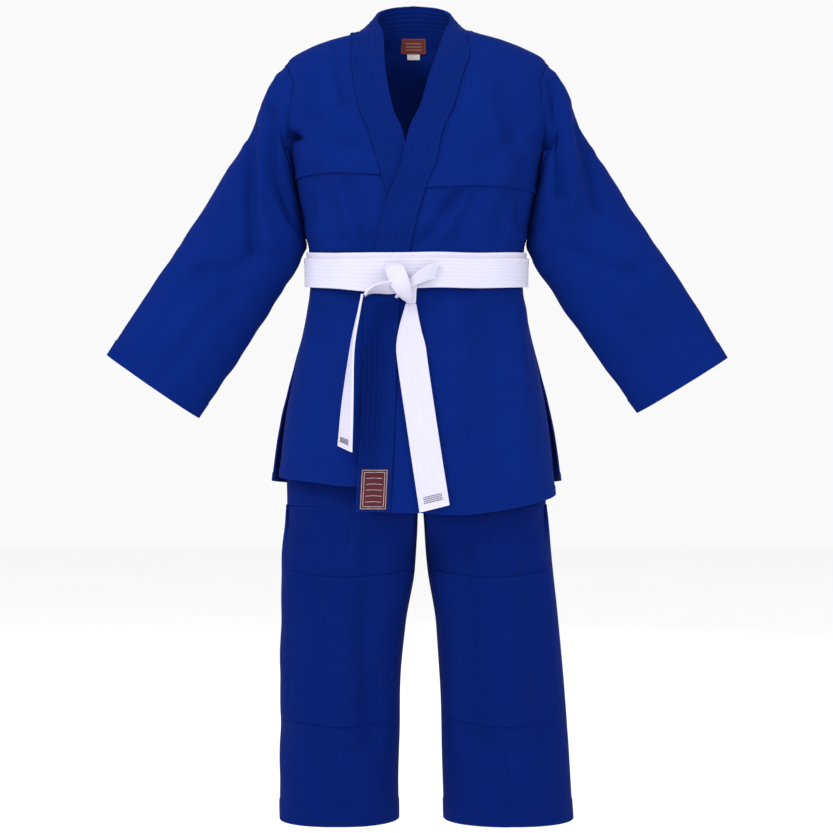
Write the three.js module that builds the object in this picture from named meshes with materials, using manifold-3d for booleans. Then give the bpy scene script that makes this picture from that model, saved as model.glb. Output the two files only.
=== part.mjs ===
// Martial arts uniform: crossed jacket, knotted belt and trousers, hanging as if worn.
// Millimetres, +Z up, +X to the wearer's left, the front faces -Y.
// The origin is midway between the shoulders, at the height of the neck base.
import * as THREE from 'three';
import { mergeVertices } from 'three/addons/utils/BufferGeometryUtils.js';
import Module from 'manifold-3d';

// ---------- driving dimensions ----------
const CLOTH = 1.8;            // thickness of one ply of jacket or trouser cloth
const BAND = 5.0;             // thickness of the quilted collar and lapel band
const BAND_WIDTH = 46;        // width of that band on the chest
const BELT = 3.0;             // thickness of the stitched belt
const BELT_WIDTH = 40;        // height of one wrap
const GAP = 0.5;              // running clearance between pieces that touch
const LAYER_GAP = 0.9;        // clearance between curved layers laid on each other
const SEAM_GAP = 1.9;         // clearance along the curved seam beside the band

const SHOULDER_TIP_Z = -35;   // top of the armhole
const ARMHOLE_HEIGHT = 122;   // armhole, top to bottom
const ARMHOLE_DEPTH = 112;    // armhole, front to back
const YOKE_HEM_RIGHT_Z = -198;   // lower edge of the doubled shoulder piece, wearer's right
const YOKE_HEM_LEFT_Z = -216;    // and wearer's left, which rides lower
const YOKE_HEM_BACK_Z = -200;
const SKIRT_HINGE_Z = -378;   // the skirt swings from here, just under the knot
const BELT_MID_Z = -322;      // middle of the belt at the sides
const BELT_TILT = 0.1;        // the belt drops this much per millimetre towards the front
const WRAP_STAGGER = 8;       // the outer wrap sits this much lower than the inner one

const WAIST_TOP_Z = -302;     // top edge of the trouser waistband
const WAISTBAND = 38;         // height of the waistband
const CROTCH_Z = -650;        // the legs part here
const LEG_END_Z = -1086;      // trouser hem at its lowest point
const EYELET_R = 4;           // drawstring eyelets in the waistband
const EYELET_SPACING = 40;

const PATCH = [35, 54];       // rectangular patch at the foot of the over-lapel
const NECK_LABEL = [33, 22];  // woven label inside the back of the neck
const SIZE_TAB = [17, 8];     // tab under it

// Jacket sections: height, half width, depth in front, depth behind, squareness of the section.
const JACKET_SECTIONS = [
  [24, 58, 34, 60, 2.2], [10, 70, 42, 63, 2.2], [2, 95, 46, 64, 2.2], [-4, 118, 48, 64, 2.3],
  [-17, 152, 51, 63, 2.5], [-34, 178, 57, 66, 2.9], [-60, 186, 68, 76, 3.4], [-100, 186, 82, 86, 3.6],
  [-157, 176, 92, 92, 3.1], [-200, 166, 94, 92, 2.7], [-294, 148, 92, 88, 2.5], [-340, 146, 92, 88, 2.5],
  [-378, 150, 94, 90, 2.5], [-454, 166, 99, 96, 2.4], [-540, 182, 103, 100, 2.4], [-660, 194, 108, 104, 2.4],
];
const BACK_FLARE = 10;        // the back skirt stands this much further out at its hem

// Trouser sections above the crotch, laid out the same way.
const SEAT_SECTIONS = [
  [WAIST_TOP_Z, 122, 74, 72, 2.3], [-340, 124, 76, 74, 2.3], [-450, 138, 82, 84, 2.3],
  [-560, 160, 84, 90, 2.3], [CROTCH_Z, 178, 84, 90, 2.4],
];

// Leg sections: height, outer edge, inner edge, half depth, for each leg.
const RIGHT_LEG_SECTIONS = [
  [CROTCH_Z, -180, 1, 80], [-739, -187, -4, 76], [-823, -188, -18, 72], [-924, -189, -25, 69],
  [LEG_END_Z, -189, -27, 65],
];
const LEFT_LEG_SECTIONS = [
  [CROTCH_Z, 180, 10, 80], [-739, 189, 17, 76], [-823, 197, 30, 72], [-924, 206, 35, 69],
  [LEG_END_Z, 217, 40, 65],
];

// Sleeve sections: outer edge and inner edge in the frontal plane, then half depth.
const RIGHT_SLEEVE_SECTIONS = [
  [-187, -36, -187, -156, 56], [-206, -72, -173, -205, 57], [-234, -134, -163, -262, 55],
  [-262, -180, -161, -302, 51], [-319, -269, -192, -359, 42], [-375, -353, -246, -443, 34],
  [-433, -441, -305, -529, 28],
];
const LEFT_SLEEVE_SECTIONS = [
  [187, -36, 187, -156, 56], [206, -72, 173, -205, 57], [235, -134, 163, -262, 55],
  [264, -180, 161, -302, 51], [322, -269, 194, -359, 42], [379, -353, 250, -440, 34],
  [435, -445, 309, -522, 28],
];

// Front edges, as height and distance from the middle: the over-lapel is the wearer's left one.
const OVER_EDGE = [[-34, 27], [-71, 15], [-104, 6], [-144, -11], [-186, -20], [-222, -34], [-257, -44],
  [-297, -53], [-375, -68], [-505, -73], [-655, -80]];
const UNDER_EDGE = [[-34, -44], [-70, -40], [-116, -30], [-138, -20], [-200, -2], [-297, 27], [-378, 34],
  [-640, 44]];

// Hem heights against distance round from the front, in degrees.
const OVER_HEM = [[-40, -655], [0, -656], [30, -659], [50, -654], [70, -643], [90, -633]];
const UNDER_HEM = [[-90, -610], [-60, -616], [-45, -621], [30, -621]];
const BACK_HEM = [[90, -618], [130, -628], [180, -630]];
const VENT = 4;               // opening of the side vent, in degrees round the body

// ---------- small helpers ----------
const mix = (a, b, t) => a + (b - a) * t;
const clamp = (v, lo, hi) => Math.min(hi, Math.max(lo, v));
const smooth = (t) => { const c = clamp(t, 0, 1); return c * c * (3 - 2 * c); };
const rad = (deg) => deg * Math.PI / 180;
const V = (x, y, z) => new THREE.Vector3(x, y, z);

// Smooth curve through (key, value) rows that never overshoots its points.
function curve(rows, column = 1) {
  const pts = rows.map((row) => [row[0], row[column]]).sort((a, b) => a[0] - b[0]);
  const slope = pts.slice(1).map((p, i) => (p[1] - pts[i][1]) / (p[0] - pts[i][0]));
  const tangent = pts.map((p, i) => {
    if (i === 0) return slope[0];
    if (i === pts.length - 1) return slope[i - 1];
    const product = slope[i - 1] * slope[i];
    return product <= 0 ? 0 : 2 * product / (slope[i - 1] + slope[i]);
  });
  return (key) => {
    const k = clamp(key, pts[0][0], pts[pts.length - 1][0]);
    let i = 0;
    while (i < pts.length - 2 && k > pts[i + 1][0]) i += 1;
    const span = pts[i + 1][0] - pts[i][0];
    const t = (k - pts[i][0]) / span;
    const rise = pts[i + 1][1] - pts[i][1];
    const c = 3 * rise - span * (2 * tangent[i] + tangent[i + 1]);
    const d = span * (tangent[i] + tangent[i + 1]) - 2 * rise;
    return pts[i][1] + t * (span * tangent[i] + t * (c + t * d));
  };
}

// Distance from the middle of a superellipse to its edge, at an angle from its depth axis.
const superellipse = (angle, half, depth, n) => (
  Math.abs(Math.sin(angle) / half) ** n + Math.abs(Math.cos(angle) / depth) ** n) ** (-1 / n);

// Surface of stacked sections. The angle runs from the front middle, positive to the wearer's left.
function bodySurface(sections) {
  const [half, front, back, square] = [1, 2, 3, 4].map((column) => curve(sections, column));
  const at = (angle, z) => {
    const n = square(z);
    const depth = Math.abs(angle) < Math.PI / 2 ? front(z) : back(z);
    const reach = superellipse(angle, half(z), depth, n);
    return V(reach * Math.sin(angle), -reach * Math.cos(angle), z);
  };
  const offset = (angle, z, distance) => {
    const step = 0.01;
    const across = at(angle + step, z).sub(at(angle - step, z));
    const down = at(angle, z - 1).sub(at(angle, z + 1));
    return at(angle, z).addScaledVector(down.cross(across).normalize(), distance);
  };
  const search = (measure, target, from, to) => {
    let [lo, hi] = [from, to];
    for (let i = 0; i < 40; i += 1) {
      const middle = (lo + hi) / 2;
      if (measure(middle) < target) lo = middle; else hi = middle;
    }
    return (lo + hi) / 2;
  };
  const angleAtX = (x, z) => search((a) => at(a, z).x, x, -Math.PI / 2, Math.PI / 2);
  const angleAtDepth = (y, z) => search((a) => at(a, z).y, y, 0, Math.PI);
  return { at, offset, angleAtX, angleAtDepth };
}

// Closed solid between an outer and an inner grid of points, rows down and columns across.
function solidBetween(outer, inner, tube = false) {
  const rows = outer.length;
  const cols = outer[0].length;
  const points = [...outer.flat(), ...inner.flat()];
  const id = (side, i, j) => side * rows * cols + i * cols + (j % cols);
  const index = [];
  const quad = (a, b, c, d) => index.push(a, b, c, a, c, d);
  const lastCol = tube ? cols : cols - 1;
  for (let i = 0; i < rows - 1; i += 1) {
    for (let j = 0; j < lastCol; j += 1) {
      quad(id(0, i, j), id(0, i + 1, j), id(0, i + 1, j + 1), id(0, i, j + 1));
      quad(id(1, i, j), id(1, i, j + 1), id(1, i + 1, j + 1), id(1, i + 1, j));
    }
  }
  for (let j = 0; j < lastCol; j += 1) {
    quad(id(0, 0, j), id(0, 0, j + 1), id(1, 0, j + 1), id(1, 0, j));
    quad(id(0, rows - 1, j + 1), id(0, rows - 1, j), id(1, rows - 1, j), id(1, rows - 1, j + 1));
  }
  for (let i = 0; i < rows - 1 && !tube; i += 1) {
    quad(id(0, i + 1, 0), id(0, i, 0), id(1, i, 0), id(1, i + 1, 0));
    quad(id(0, i, cols - 1), id(0, i + 1, cols - 1), id(1, i + 1, cols - 1), id(1, i, cols - 1));
  }
  const geometry = new THREE.BufferGeometry().setFromPoints(points);
  geometry.setIndex(index);
  return facingOut(geometry);
}

// Turns the triangles over if the solid would face inwards.
function facingOut(geometry) {
  const position = geometry.getAttribute('position');
  const index = geometry.getIndex();
  const corner = (i) => new THREE.Vector3().fromBufferAttribute(position, index.getX(i));
  let volume = 0;
  for (let i = 0; i < index.count; i += 3) volume += corner(i).dot(corner(i + 1).cross(corner(i + 2)));
  if (volume < 0) {
    const flipped = [];
    for (let i = 0; i < index.count; i += 3) flipped.push(index.getX(i), index.getX(i + 2), index.getX(i + 1));
    geometry.setIndex(flipped);
  }
  geometry.computeVertexNormals();
  return geometry;
}

// Grid of points: rows and columns are counts of steps, place(u, v) gives one point.
const grid = (rows, cols, place, wrap = false) => Array.from({ length: rows + 1 }, (_, i) => (
  Array.from({ length: wrap ? cols : cols + 1 }, (__, j) => place(j / cols, i / rows))));

const wasm = await Module();
wasm.setup();

function toManifold(geometry) {
  const bare = geometry.clone();
  bare.deleteAttribute('normal');
  bare.deleteAttribute('uv');
  const merged = mergeVertices(bare, 1e-4);
  return new wasm.Manifold(new wasm.Mesh({
    numProp: 3,
    vertProperties: new Float32Array(merged.getAttribute('position').array),
    triVerts: new Uint32Array(merged.getIndex().array),
  }));
}

function fromManifold(manifold) {
  const mesh = manifold.getMesh();
  const geometry = new THREE.BufferGeometry();
  geometry.setAttribute('position', new THREE.BufferAttribute(new Float32Array(mesh.vertProperties), 3));
  geometry.setIndex([...mesh.triVerts]);
  geometry.computeVertexNormals();
  return geometry;
}

// ---------- materials ----------
const fabric = (color, roughness = 0.9) => () => (
  new THREE.MeshStandardMaterial({ color, roughness, metalness: 0, side: THREE.DoubleSide }));
const jacketCloth = fabric(0x16309a);
const bandCloth = fabric(0x142b8c, 0.85);
const trouserCloth = fabric(0x10257a);
const beltCloth = fabric(0xe4e1f2, 0.8);
const patchCloth = fabric(0x5f2d37);
const labelCloth = fabric(0xbe5032, 0.7);
const tabCloth = fabric(0xe8e8e4, 0.7);

const uniform = new THREE.Group();
function add(name, geometry, material, parent = uniform) {
  const mesh = new THREE.Mesh(geometry, material());
  mesh.name = name;
  parent.add(mesh);
}

// ---------- jacket ----------
const jacket = bodySurface(JACKET_SECTIONS);
const overEdge = curve(OVER_EDGE);
const underEdge = curve(UNDER_EDGE);

// The over side climbs over the under-lapel: how far it stands off the body at (x, z).
const CLIMB = BAND + LAYER_GAP;
const CLIMB_WIDTH = 34;
const CLIMB_START = 6;  // it keeps its full height this far past the lapel beneath
const climb = (x, z) => CLIMB * smooth((underEdge(z) + CLIMB_START + CLIMB_WIDTH - x) / CLIMB_WIDTH);

// Sheet on the jacket surface. edgeA and edgeB give angles at a height; lift gives its standoff.
function jacketSheet({ rows, cols, top, bottom, edgeA, edgeB, lift = () => 0, thickness = CLOTH }) {
  const place = (extra) => (u, v) => {
    const z = mix(top(u), bottom(u), v);
    const angle = mix(edgeA(z), edgeB(z), u);
    const standoff = lift(jacket.at(angle, z).x, z);
    return jacket.offset(angle, z, standoff + extra);
  };
  return solidBetween(grid(rows, cols, place(thickness)), grid(rows, cols, place(0)));
}

// Angle of the panels' side edge: the shoulder seam, then the armhole, then the side seam.
const armholeMid = SHOULDER_TIP_Z - ARMHOLE_HEIGHT / 2;
const armholeHalf = (z) => {
  const t = (z - armholeMid) / (ARMHOLE_HEIGHT / 2);
  return Math.abs(t) < 1 ? ARMHOLE_DEPTH / 2 * Math.sqrt(1 - t * t) : 0;
};
const seamSlack = (z) => GAP / 2 / jacket.at(Math.PI / 2, z).x;
const frontSideEdge = (side) => (z) => side * (
  jacket.angleAtDepth(-armholeHalf(z), z) - seamSlack(z));
const backSideEdge = (side) => (z) => side * (
  jacket.angleAtDepth(armholeHalf(z), z) + seamSlack(z));

// Rows of a panel that borders the armhole, gathered where its outline turns.
function armholeRows(v, top, bottom) {
  const stops = [top, SHOULDER_TIP_Z, SHOULDER_TIP_Z - ARMHOLE_HEIGHT, bottom];
  const shares = [0, 0.3, 0.85, 1];
  let i = 0;
  while (i < 2 && v > shares[i + 1]) i += 1;
  const t = (v - shares[i]) / (shares[i + 1] - shares[i]);
  const eased = i === 1 ? (1 - Math.cos(Math.PI * t)) / 2 : t;
  return mix(stops[i], stops[i + 1], eased);
}

const YOKE_ROWS = 14;
function yokeSheet({ cols, top, bottom, edgeA, edgeB, lift = () => 0 }) {
  const place = (extra) => (u, v) => {
    const z = armholeRows(v, top(u), bottom);
    const angle = mix(edgeA(z), edgeB(z), u);
    return jacket.offset(angle, z, lift(jacket.at(angle, z).x, z) + extra);
  };
  return solidBetween(grid(YOKE_ROWS, cols, place(CLOTH)), grid(YOKE_ROWS, cols, place(0)));
}

const OVER = 1;    // wearer's left
const UNDER = -1;  // wearer's right
const level = (value) => () => value;
const overBandSeam = (z) => jacket.angleAtX(overEdge(z) + BAND_WIDTH + SEAM_GAP, z);
const underBandSeam = (z) => jacket.angleAtX(underEdge(z) - BAND_WIDTH - SEAM_GAP, z);
const RIDGE_Z = 5;         // shoulder ridge beside the neck
const YOKE_CORNER_Z = -20; // where the shoulder piece meets the band in front
const frontTop = (u) => mix(YOKE_CORNER_Z, RIDGE_Z, u);

function addJacketFronts() {
  const plain = () => 0;
  const sides = [
    { side: OVER, word: 'left', seam: overBandSeam, hem: YOKE_HEM_LEFT_Z, lift: climb },
    { side: UNDER, word: 'right', seam: underBandSeam, hem: YOKE_HEM_RIGHT_Z, lift: plain },
  ];
  for (const { side, word, seam, hem, lift } of sides) {
    const edges = { edgeA: seam, edgeB: frontSideEdge(side), lift };
    add(`yoke_front_${word}`, yokeSheet({ cols: 6, top: frontTop, bottom: hem + GAP, ...edges }), jacketCloth);
    const body = { rows: 6, cols: 8, top: level(hem), bottom: level(SKIRT_HINGE_Z + GAP / 2) };
    add(`front_${word}`, jacketSheet({ ...body, ...edges }), jacketCloth);
  }
}

function addJacketBack() {
  const middle = (z) => Math.PI - seamSlack(z);
  const nape = (u) => mix(RIDGE_Z, 20, Math.sin(Math.PI * u) ** 0.5);
  const leftEdge = backSideEdge(OVER);
  add('yoke_back', yokeSheet({
    cols: 14, top: nape, bottom: YOKE_HEM_BACK_Z + GAP,
    edgeA: leftEdge, edgeB: (z) => 2 * Math.PI - leftEdge(z),
  }), jacketCloth);
  for (const [side, word] of [[OVER, 'left'], [UNDER, 'right']]) {
    add(`back_${word}`, jacketSheet({
      rows: 5, cols: 7, top: level(YOKE_HEM_BACK_Z), bottom: level(SKIRT_HINGE_Z + GAP / 2),
      edgeA: (z) => side * middle(z), edgeB: backSideEdge(side),
    }), jacketCloth);
  }
}

// The skirts below the belt: each side of the front, then the two halves of the back.
const hemCurve = (rows) => { const at = curve(rows); return (angle) => at(angle * 180 / Math.PI); };
const overHem = hemCurve(OVER_HEM);
const underHem = hemCurve(UNDER_HEM);
const backHem = hemCurve(BACK_HEM);
const ventEdge = (side) => (z) => side * (
  Math.PI / 2 - seamSlack(z) - rad(VENT) * smooth((SKIRT_HINGE_Z - z) / 200));

function skirtSheet({ rows = 6, cols = 9, edgeA, edgeB, hem, lift }) {
  const hinge = SKIRT_HINGE_Z - GAP / 2;
  const bottom = (u) => hem(mix(edgeA(-600), edgeB(-600), u));
  return jacketSheet({ rows, cols, top: level(hinge), bottom, edgeA, edgeB, lift });
}

function addJacketSkirts() {
  add('skirt_front_left', skirtSheet({
    edgeA: overBandSeam, edgeB: ventEdge(OVER), hem: overHem, lift: climb,
  }), jacketCloth);
  add('skirt_front_right', skirtSheet({
    edgeA: ventEdge(UNDER), edgeB: underBandSeam, hem: underHem, lift: () => 0,
  }), jacketCloth);
  const flare = (x, z) => BACK_FLARE * smooth((SKIRT_HINGE_Z - z) / 250);
  for (const [side, word] of [[OVER, 'left'], [UNDER, 'right']]) {
    add(`skirt_back_${word}`, skirtSheet({
      edgeA: (z) => side * (Math.PI - seamSlack(z)),
      edgeB: (z) => side * (Math.PI / 2 + seamSlack(z)),
      hem: (angle) => backHem(Math.abs(angle)),
      lift: flare,
    }), jacketCloth);
  }
}

// ---------- collar and lapel band ----------
const NECK_X = -4;            // the collar sits slightly towards the wearer's right
const BAND_TURN_Z = -36;      // above this the band leaves the chest and stands round the neck
// Half of the standing collar: its upper edge, then its seam, from the chest round to the nape.
const COLLAR_TOP = [[41, -26, 2], [46, 0, 24], [42, 28, 43], [26, 48, 56], [0.4, 56, 61]];
const COLLAR_SEAM = [[82, -22, 9], [78, 8, 15], [62, 34, 19], [36, 56, 23], [0.4, 64, 24]];

function bandSheet(side, edge, from, to, withCollar) {
  const cols = 3;
  const rowsOnChest = withCollar ? 12 : 6;
  const width = side * BAND_WIDTH;
  const lift = side === OVER ? climb : () => 0;
  const chestRow = (z, extra) => Array.from({ length: cols + 1 }, (_, j) => {
    const x = edge(z) + width * j / cols;
    return jacket.offset(jacket.angleAtX(x, z), z, lift(x, z) + extra);
  });
  const rows = (extra) => Array.from({ length: rowsOnChest + 1 }, (_, i) => (
    chestRow(mix(from, to, i / rowsOnChest), extra)));
  const [back, face] = [rows(0), rows(BAND)];
  if (withCollar) {
    const line = (points, first) => new THREE.CatmullRomCurve3(
      [first, ...points.map(([x, y, z]) => V(NECK_X + side * x, y, z))], false, 'centripetal');
    const top = line(COLLAR_TOP, back[rowsOnChest][0]);
    const seam = line(COLLAR_SEAM, back[rowsOnChest][cols]);
    const steps = 8;
    for (let i = 1; i <= steps; i += 1) {
      const [a, b] = [top.getPoint(i / steps), seam.getPoint(i / steps)];
      const along = top.getTangent(i / steps);
      const outward = b.clone().sub(a).cross(along).normalize().multiplyScalar(side);
      const turn = smooth(i / 3);
      const normal = outward.lerp(face[rowsOnChest][0].clone().sub(back[rowsOnChest][0]).normalize(), 1 - turn);
      const row = (extra) => Array.from({ length: cols + 1 }, (_, j) => (
        a.clone().lerp(b, j / cols).addScaledVector(normal, extra)));
      back.push(row(0));
      face.push(row(BAND));
    }
  }
  return solidBetween(face, back);
}

function addBand() {
  const above = SKIRT_HINGE_Z + GAP / 2;
  const below = SKIRT_HINGE_Z - GAP / 2;
  add('lapel_left', bandSheet(OVER, overEdge, above, BAND_TURN_Z, true), bandCloth);
  add('lapel_right', bandSheet(UNDER, underEdge, above, BAND_TURN_Z, true), bandCloth);
  add('lapel_skirt_left', bandSheet(OVER, overEdge, -655, below, false), bandCloth);
  add('lapel_skirt_right', bandSheet(UNDER, underEdge, -620, below, false), bandCloth);
}

// Small pieces sewn on: the patch on the over-lapel, the neck label and its size tab.
function addTrims() {
  const patch = (extra) => (u, v) => {
    const z = -598 - PATCH[1] * v;
    const x = overEdge(z) + (BAND_WIDTH - PATCH[0]) / 2 + PATCH[0] * u;
    return jacket.offset(jacket.angleAtX(x, z), z, CLIMB + BAND + GAP + extra);
  };
  add('lapel_patch', solidBetween(grid(4, 4, patch(1)), grid(4, 4, patch(0))), patchCloth);
  const inside = (width, height, top, middle, depth) => {
    const place = (extra) => (u, v) => {
      const z = top - height * v;
      const angle = Math.PI + (width * (0.5 - u) - middle) / 60;
      return jacket.offset(angle, z, depth - extra);
    };
    return solidBetween(grid(3, 3, place(0)), grid(3, 3, place(0.8)));
  };
  add('neck_label', inside(NECK_LABEL[0], NECK_LABEL[1], 15, NECK_X, -GAP), labelCloth);
  add('size_tab', inside(SIZE_TAB[0], SIZE_TAB[1], 15 - NECK_LABEL[1] - GAP, NECK_X, -GAP), tabCloth);
}

// ---------- sleeves ----------
function sleeve(side, sections) {
  const rings = 10;
  const around = 18;
  const column = (c) => curve(sections.map((row, i) => [i, row[c]]), 1);
  const [outerX, outerZ, innerX, innerZ, depth] = [0, 1, 2, 3, 4].map(column);
  const rootPoint = (phi, wall) => {
    const z = armholeMid + (ARMHOLE_HEIGHT / 2 - wall) * Math.cos(phi);
    const y = (ARMHOLE_DEPTH / 2 - wall) * Math.sin(phi);
    const surface = jacket.at(side * jacket.angleAtDepth(y, z), z);
    return V(surface.x + side * (CLOTH + GAP), y, z);
  };
  const place = (wall) => (u, v) => {
    const phi = 2 * Math.PI * u;
    if (v === 0) return rootPoint(phi, wall);
    const k = v * (sections.length - 1);
    const outer = V(outerX(k), 0, outerZ(k));
    const inner = V(innerX(k), 0, innerZ(k));
    const middle = outer.clone().add(inner).multiplyScalar(0.5);
    const reach = outer.clone().sub(inner).multiplyScalar(0.5);
    reach.setLength(reach.length() - wall);
    return middle.addScaledVector(reach, Math.cos(phi)).add(V(0, (depth(k) - wall) * Math.sin(phi), 0));
  };
  return solidBetween(grid(rings, around, place(0), true), grid(rings, around, place(CLOTH), true), true);
}

// ---------- belt ----------
const BELT_EASE = 0.6;                   // slack of the belt round the body
const BELT_RISE = BAND + CLIMB - CLOTH;  // how much further the belt stands off over the lapels
const beltRamp = (x) => smooth(x < 0 ? (x + 122) / 48 : (92 - x) / 84);
const beltLift = (x) => CLOTH + LAYER_GAP + BELT_EASE + BELT_RISE * beltRamp(x);

function wrap(standoff, shift) {
  const place = (extra) => (u, v) => {
    const angle = 2 * Math.PI * (u - 0.5);
    const at = jacket.at(angle, BELT_MID_Z);
    const z = BELT_MID_Z + BELT_TILT * at.y + shift + BELT_WIDTH * (0.5 - v);
    const bulge = Math.abs(angle) < Math.PI / 2 ? beltLift(at.x) : beltLift(200);
    const onBody = jacket.at(angle, z);
    const outward = V(onBody.x, onBody.y, 0).normalize();
    return onBody.addScaledVector(outward, bulge + standoff + extra);
  };
  return solidBetween(grid(1, 56, place(BELT), true), grid(1, 56, place(0), true), true);
}

// Strip along stations of [centre, half-width vector], as thick as the belt.
function strip(stations) {
  const normal = (i) => {
    const next = stations[Math.min(i + 1, stations.length - 1)][0];
    const last = stations[Math.max(i - 1, 0)][0];
    return next.clone().sub(last).cross(stations[i][1]).normalize().multiplyScalar(BELT / 2);
  };
  const rows = (sign) => stations.map(([centre, half], i) => (
    [-1, 0, 1].map((s) => centre.clone().addScaledVector(half, s).addScaledVector(normal(i), sign))));
  return solidBetween(rows(1), rows(-1));
}

const TAIL_SWING_GAP = 2.6;  // room above the right tail for it to turn
const LEFT_TAIL_X = -82.7; // the left tail hangs edge-on here, beside the end of the knot's strand
const LEFT_TAIL_Y = -129;
const jacketFront = curve(JACKET_SECTIONS, 2);
const tailRest = (z) => -(jacketFront(z) + CLIMB + BAND + GAP + BELT / 2);
const KNOT_Y = -(92 + beltLift(-20) + 2 * BELT + LAYER_GAP + GAP);  // the knot's back
function addBelt() {
  const outerStandoff = BELT + LAYER_GAP;
  add('belt_inner_wrap', wrap(0, WRAP_STAGGER / 2), beltCloth);
  add('belt_outer_wrap', wrap(outerStandoff, -WRAP_STAGGER / 2), beltCloth);

  const lump = (w, h, d, x, z, turn) => {
    const shape = new THREE.Shape();
    shape.absellipse(0, 0, w / 2, h / 2, 0, 2 * Math.PI);
    const rounding = { bevelSize: 4, bevelThickness: 4, bevelSegments: 2, bevelOffset: -4 };
    const geometry = new THREE.ExtrudeGeometry(shape, { depth: d - 8, curveSegments: 6, ...rounding });
    geometry.rotateX(Math.PI / 2);
    geometry.rotateY(rad(turn));
    geometry.translate(x, KNOT_Y - 4, z);
    return toManifold(geometry);
  };
  const strandX = LEFT_TAIL_X + BELT + LAYER_GAP;
  const leftNeck = strip([
    [V(-26, KNOT_Y - 12, -338), V(0, -4, 14)], [V(-52, KNOT_Y - 14, -341), V(0, -10, 13)],
    [V(-70, LEFT_TAIL_Y, -349), V(1, -14, 8)], [V(strandX, LEFT_TAIL_Y, -361), V(0, -16, 0)],
    [V(strandX, LEFT_TAIL_Y, -374), V(0, -16, 0)],
  ]);
  const rightNeck = strip([
    [V(-8, KNOT_Y - 8, -346), V(8, 0, 0)], [V(-8, KNOT_Y - 3, -358), V(7.5, 0, 0)],
    [V(-7.5, tailRest(SKIRT_HINGE_Z), SKIRT_HINGE_Z + TAIL_SWING_GAP), V(7, 0, 0)],
  ]);
  let knot = lump(52, 46, 20, -11, -347, 0);
  knot = knot.add(lump(58, 24, 26, -9, -346, 35));
  knot = knot.add(toManifold(leftNeck)).add(toManifold(rightNeck));
  add('belt_knot', fromManifold(knot), beltCloth);

  add('belt_tail_left', strip([
    [V(LEFT_TAIL_X, LEFT_TAIL_Y, -364), V(0, -16, 0)], [V(LEFT_TAIL_X, LEFT_TAIL_Y, -378), V(0, -16, 0)],
    [V(LEFT_TAIL_X - 2.5, LEFT_TAIL_Y - 1, -430), V(2.5, -17, 0)],
    [V(LEFT_TAIL_X - 8, LEFT_TAIL_Y - 2, -500), V(7, -18, 0)],
    [V(LEFT_TAIL_X - 12, LEFT_TAIL_Y - 4, -570), V(10, -17, -4)],
  ]), beltCloth);
  const lying = (x, z, half, slope) => [V(x, tailRest(z), z), V(half, 0, slope)];
  add('belt_tail_right', strip([
    lying(-7.5, SKIRT_HINGE_Z, 7, 0), lying(-9, -410, 15, 1), lying(-7, -440, 20, 2),
    lying(8, -545, 20, 3), lying(24, -650, 20, 5),
  ]), beltCloth);
}

// ---------- trousers ----------
const seat = bodySurface(SEAT_SECTIONS);
function addSeat() {
  const waistEnd = WAIST_TOP_Z - WAISTBAND;
  for (const [side, word] of [[OVER, 'left'], [UNDER, 'right']]) {
    const slack = (z) => GAP / 2 / seat.at(0, z).length();
    const place = (extra) => (u, v) => {
      const z = mix(waistEnd - GAP, CROTCH_Z + GAP / 2, v);
      const angle = side * mix(slack(z), Math.PI - slack(z), u);
      return seat.offset(angle, z, extra);
    };
    add(`trouser_seat_${word}`, solidBetween(grid(5, 12, place(CLOTH)), grid(5, 12, place(0))), trouserCloth);
  }
  const ring = (extra) => (u, v) => {
    const angle = 2 * Math.PI * u;
    const at = seat.at(angle, WAIST_TOP_Z - WAISTBAND * v);
    return at.addScaledVector(V(at.x, at.y, 0).normalize(), extra);
  };
  let band = toManifold(solidBetween(grid(1, 32, ring(4), true), grid(1, 32, ring(0), true), true));
  for (const side of [-1, 1]) {
    const eyelet = new THREE.CylinderGeometry(EYELET_R, EYELET_R, 30, 10);
    eyelet.translate(side * EYELET_SPACING / 2, -76, WAIST_TOP_Z - WAISTBAND / 2);
    band = band.subtract(toManifold(eyelet));
  }
  add('waistband', fromManifold(band), trouserCloth);
}

function legSurface(sections) {
  const [outerX, innerX, depth] = [1, 2, 3].map((column) => curve(sections, column));
  const n = 2.3;
  return (angle, z, extra) => {
    const half = Math.abs(outerX(z) - innerX(z)) / 2;
    const deep = depth(z);
    const reach = superellipse(angle, half, deep, n);
    const middle = (outerX(z) + innerX(z)) / 2;
    return V(middle + (reach + extra) * Math.sin(angle), -(reach + extra) * Math.cos(angle), z);
  };
}

const KNEE_TOP_Z = -738;      // reinforcement over the knee
const KNEE_END_Z = -940;
const KNEE_HALF_ANGLE = 60;   // how far it reaches round the leg, in degrees
function addLegs() {
  for (const [word, sections] of [['left', LEFT_LEG_SECTIONS], ['right', RIGHT_LEG_SECTIONS]]) {
    const leg = legSurface(sections);
    const tube = (extra) => (u, v) => leg(2 * Math.PI * u, mix(CROTCH_Z - GAP / 2, LEG_END_Z, v), extra);
    add(`trouser_leg_${word}`, solidBetween(
      grid(8, 24, tube(CLOTH), true), grid(8, 24, tube(0), true), true), trouserCloth);
    const knee = (extra) => (u, v) => {
      const sag = 8 * (1 - (2 * u - 1) ** 2);
      const z = mix(KNEE_TOP_Z, KNEE_END_Z, v) - sag;
      return leg(rad(KNEE_HALF_ANGLE) * (2 * u - 1), z, CLOTH + LAYER_GAP + extra);
    };
    add(`knee_patch_${word}`, solidBetween(grid(5, 8, knee(CLOTH)), grid(5, 8, knee(0))), trouserCloth);
  }
}

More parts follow.
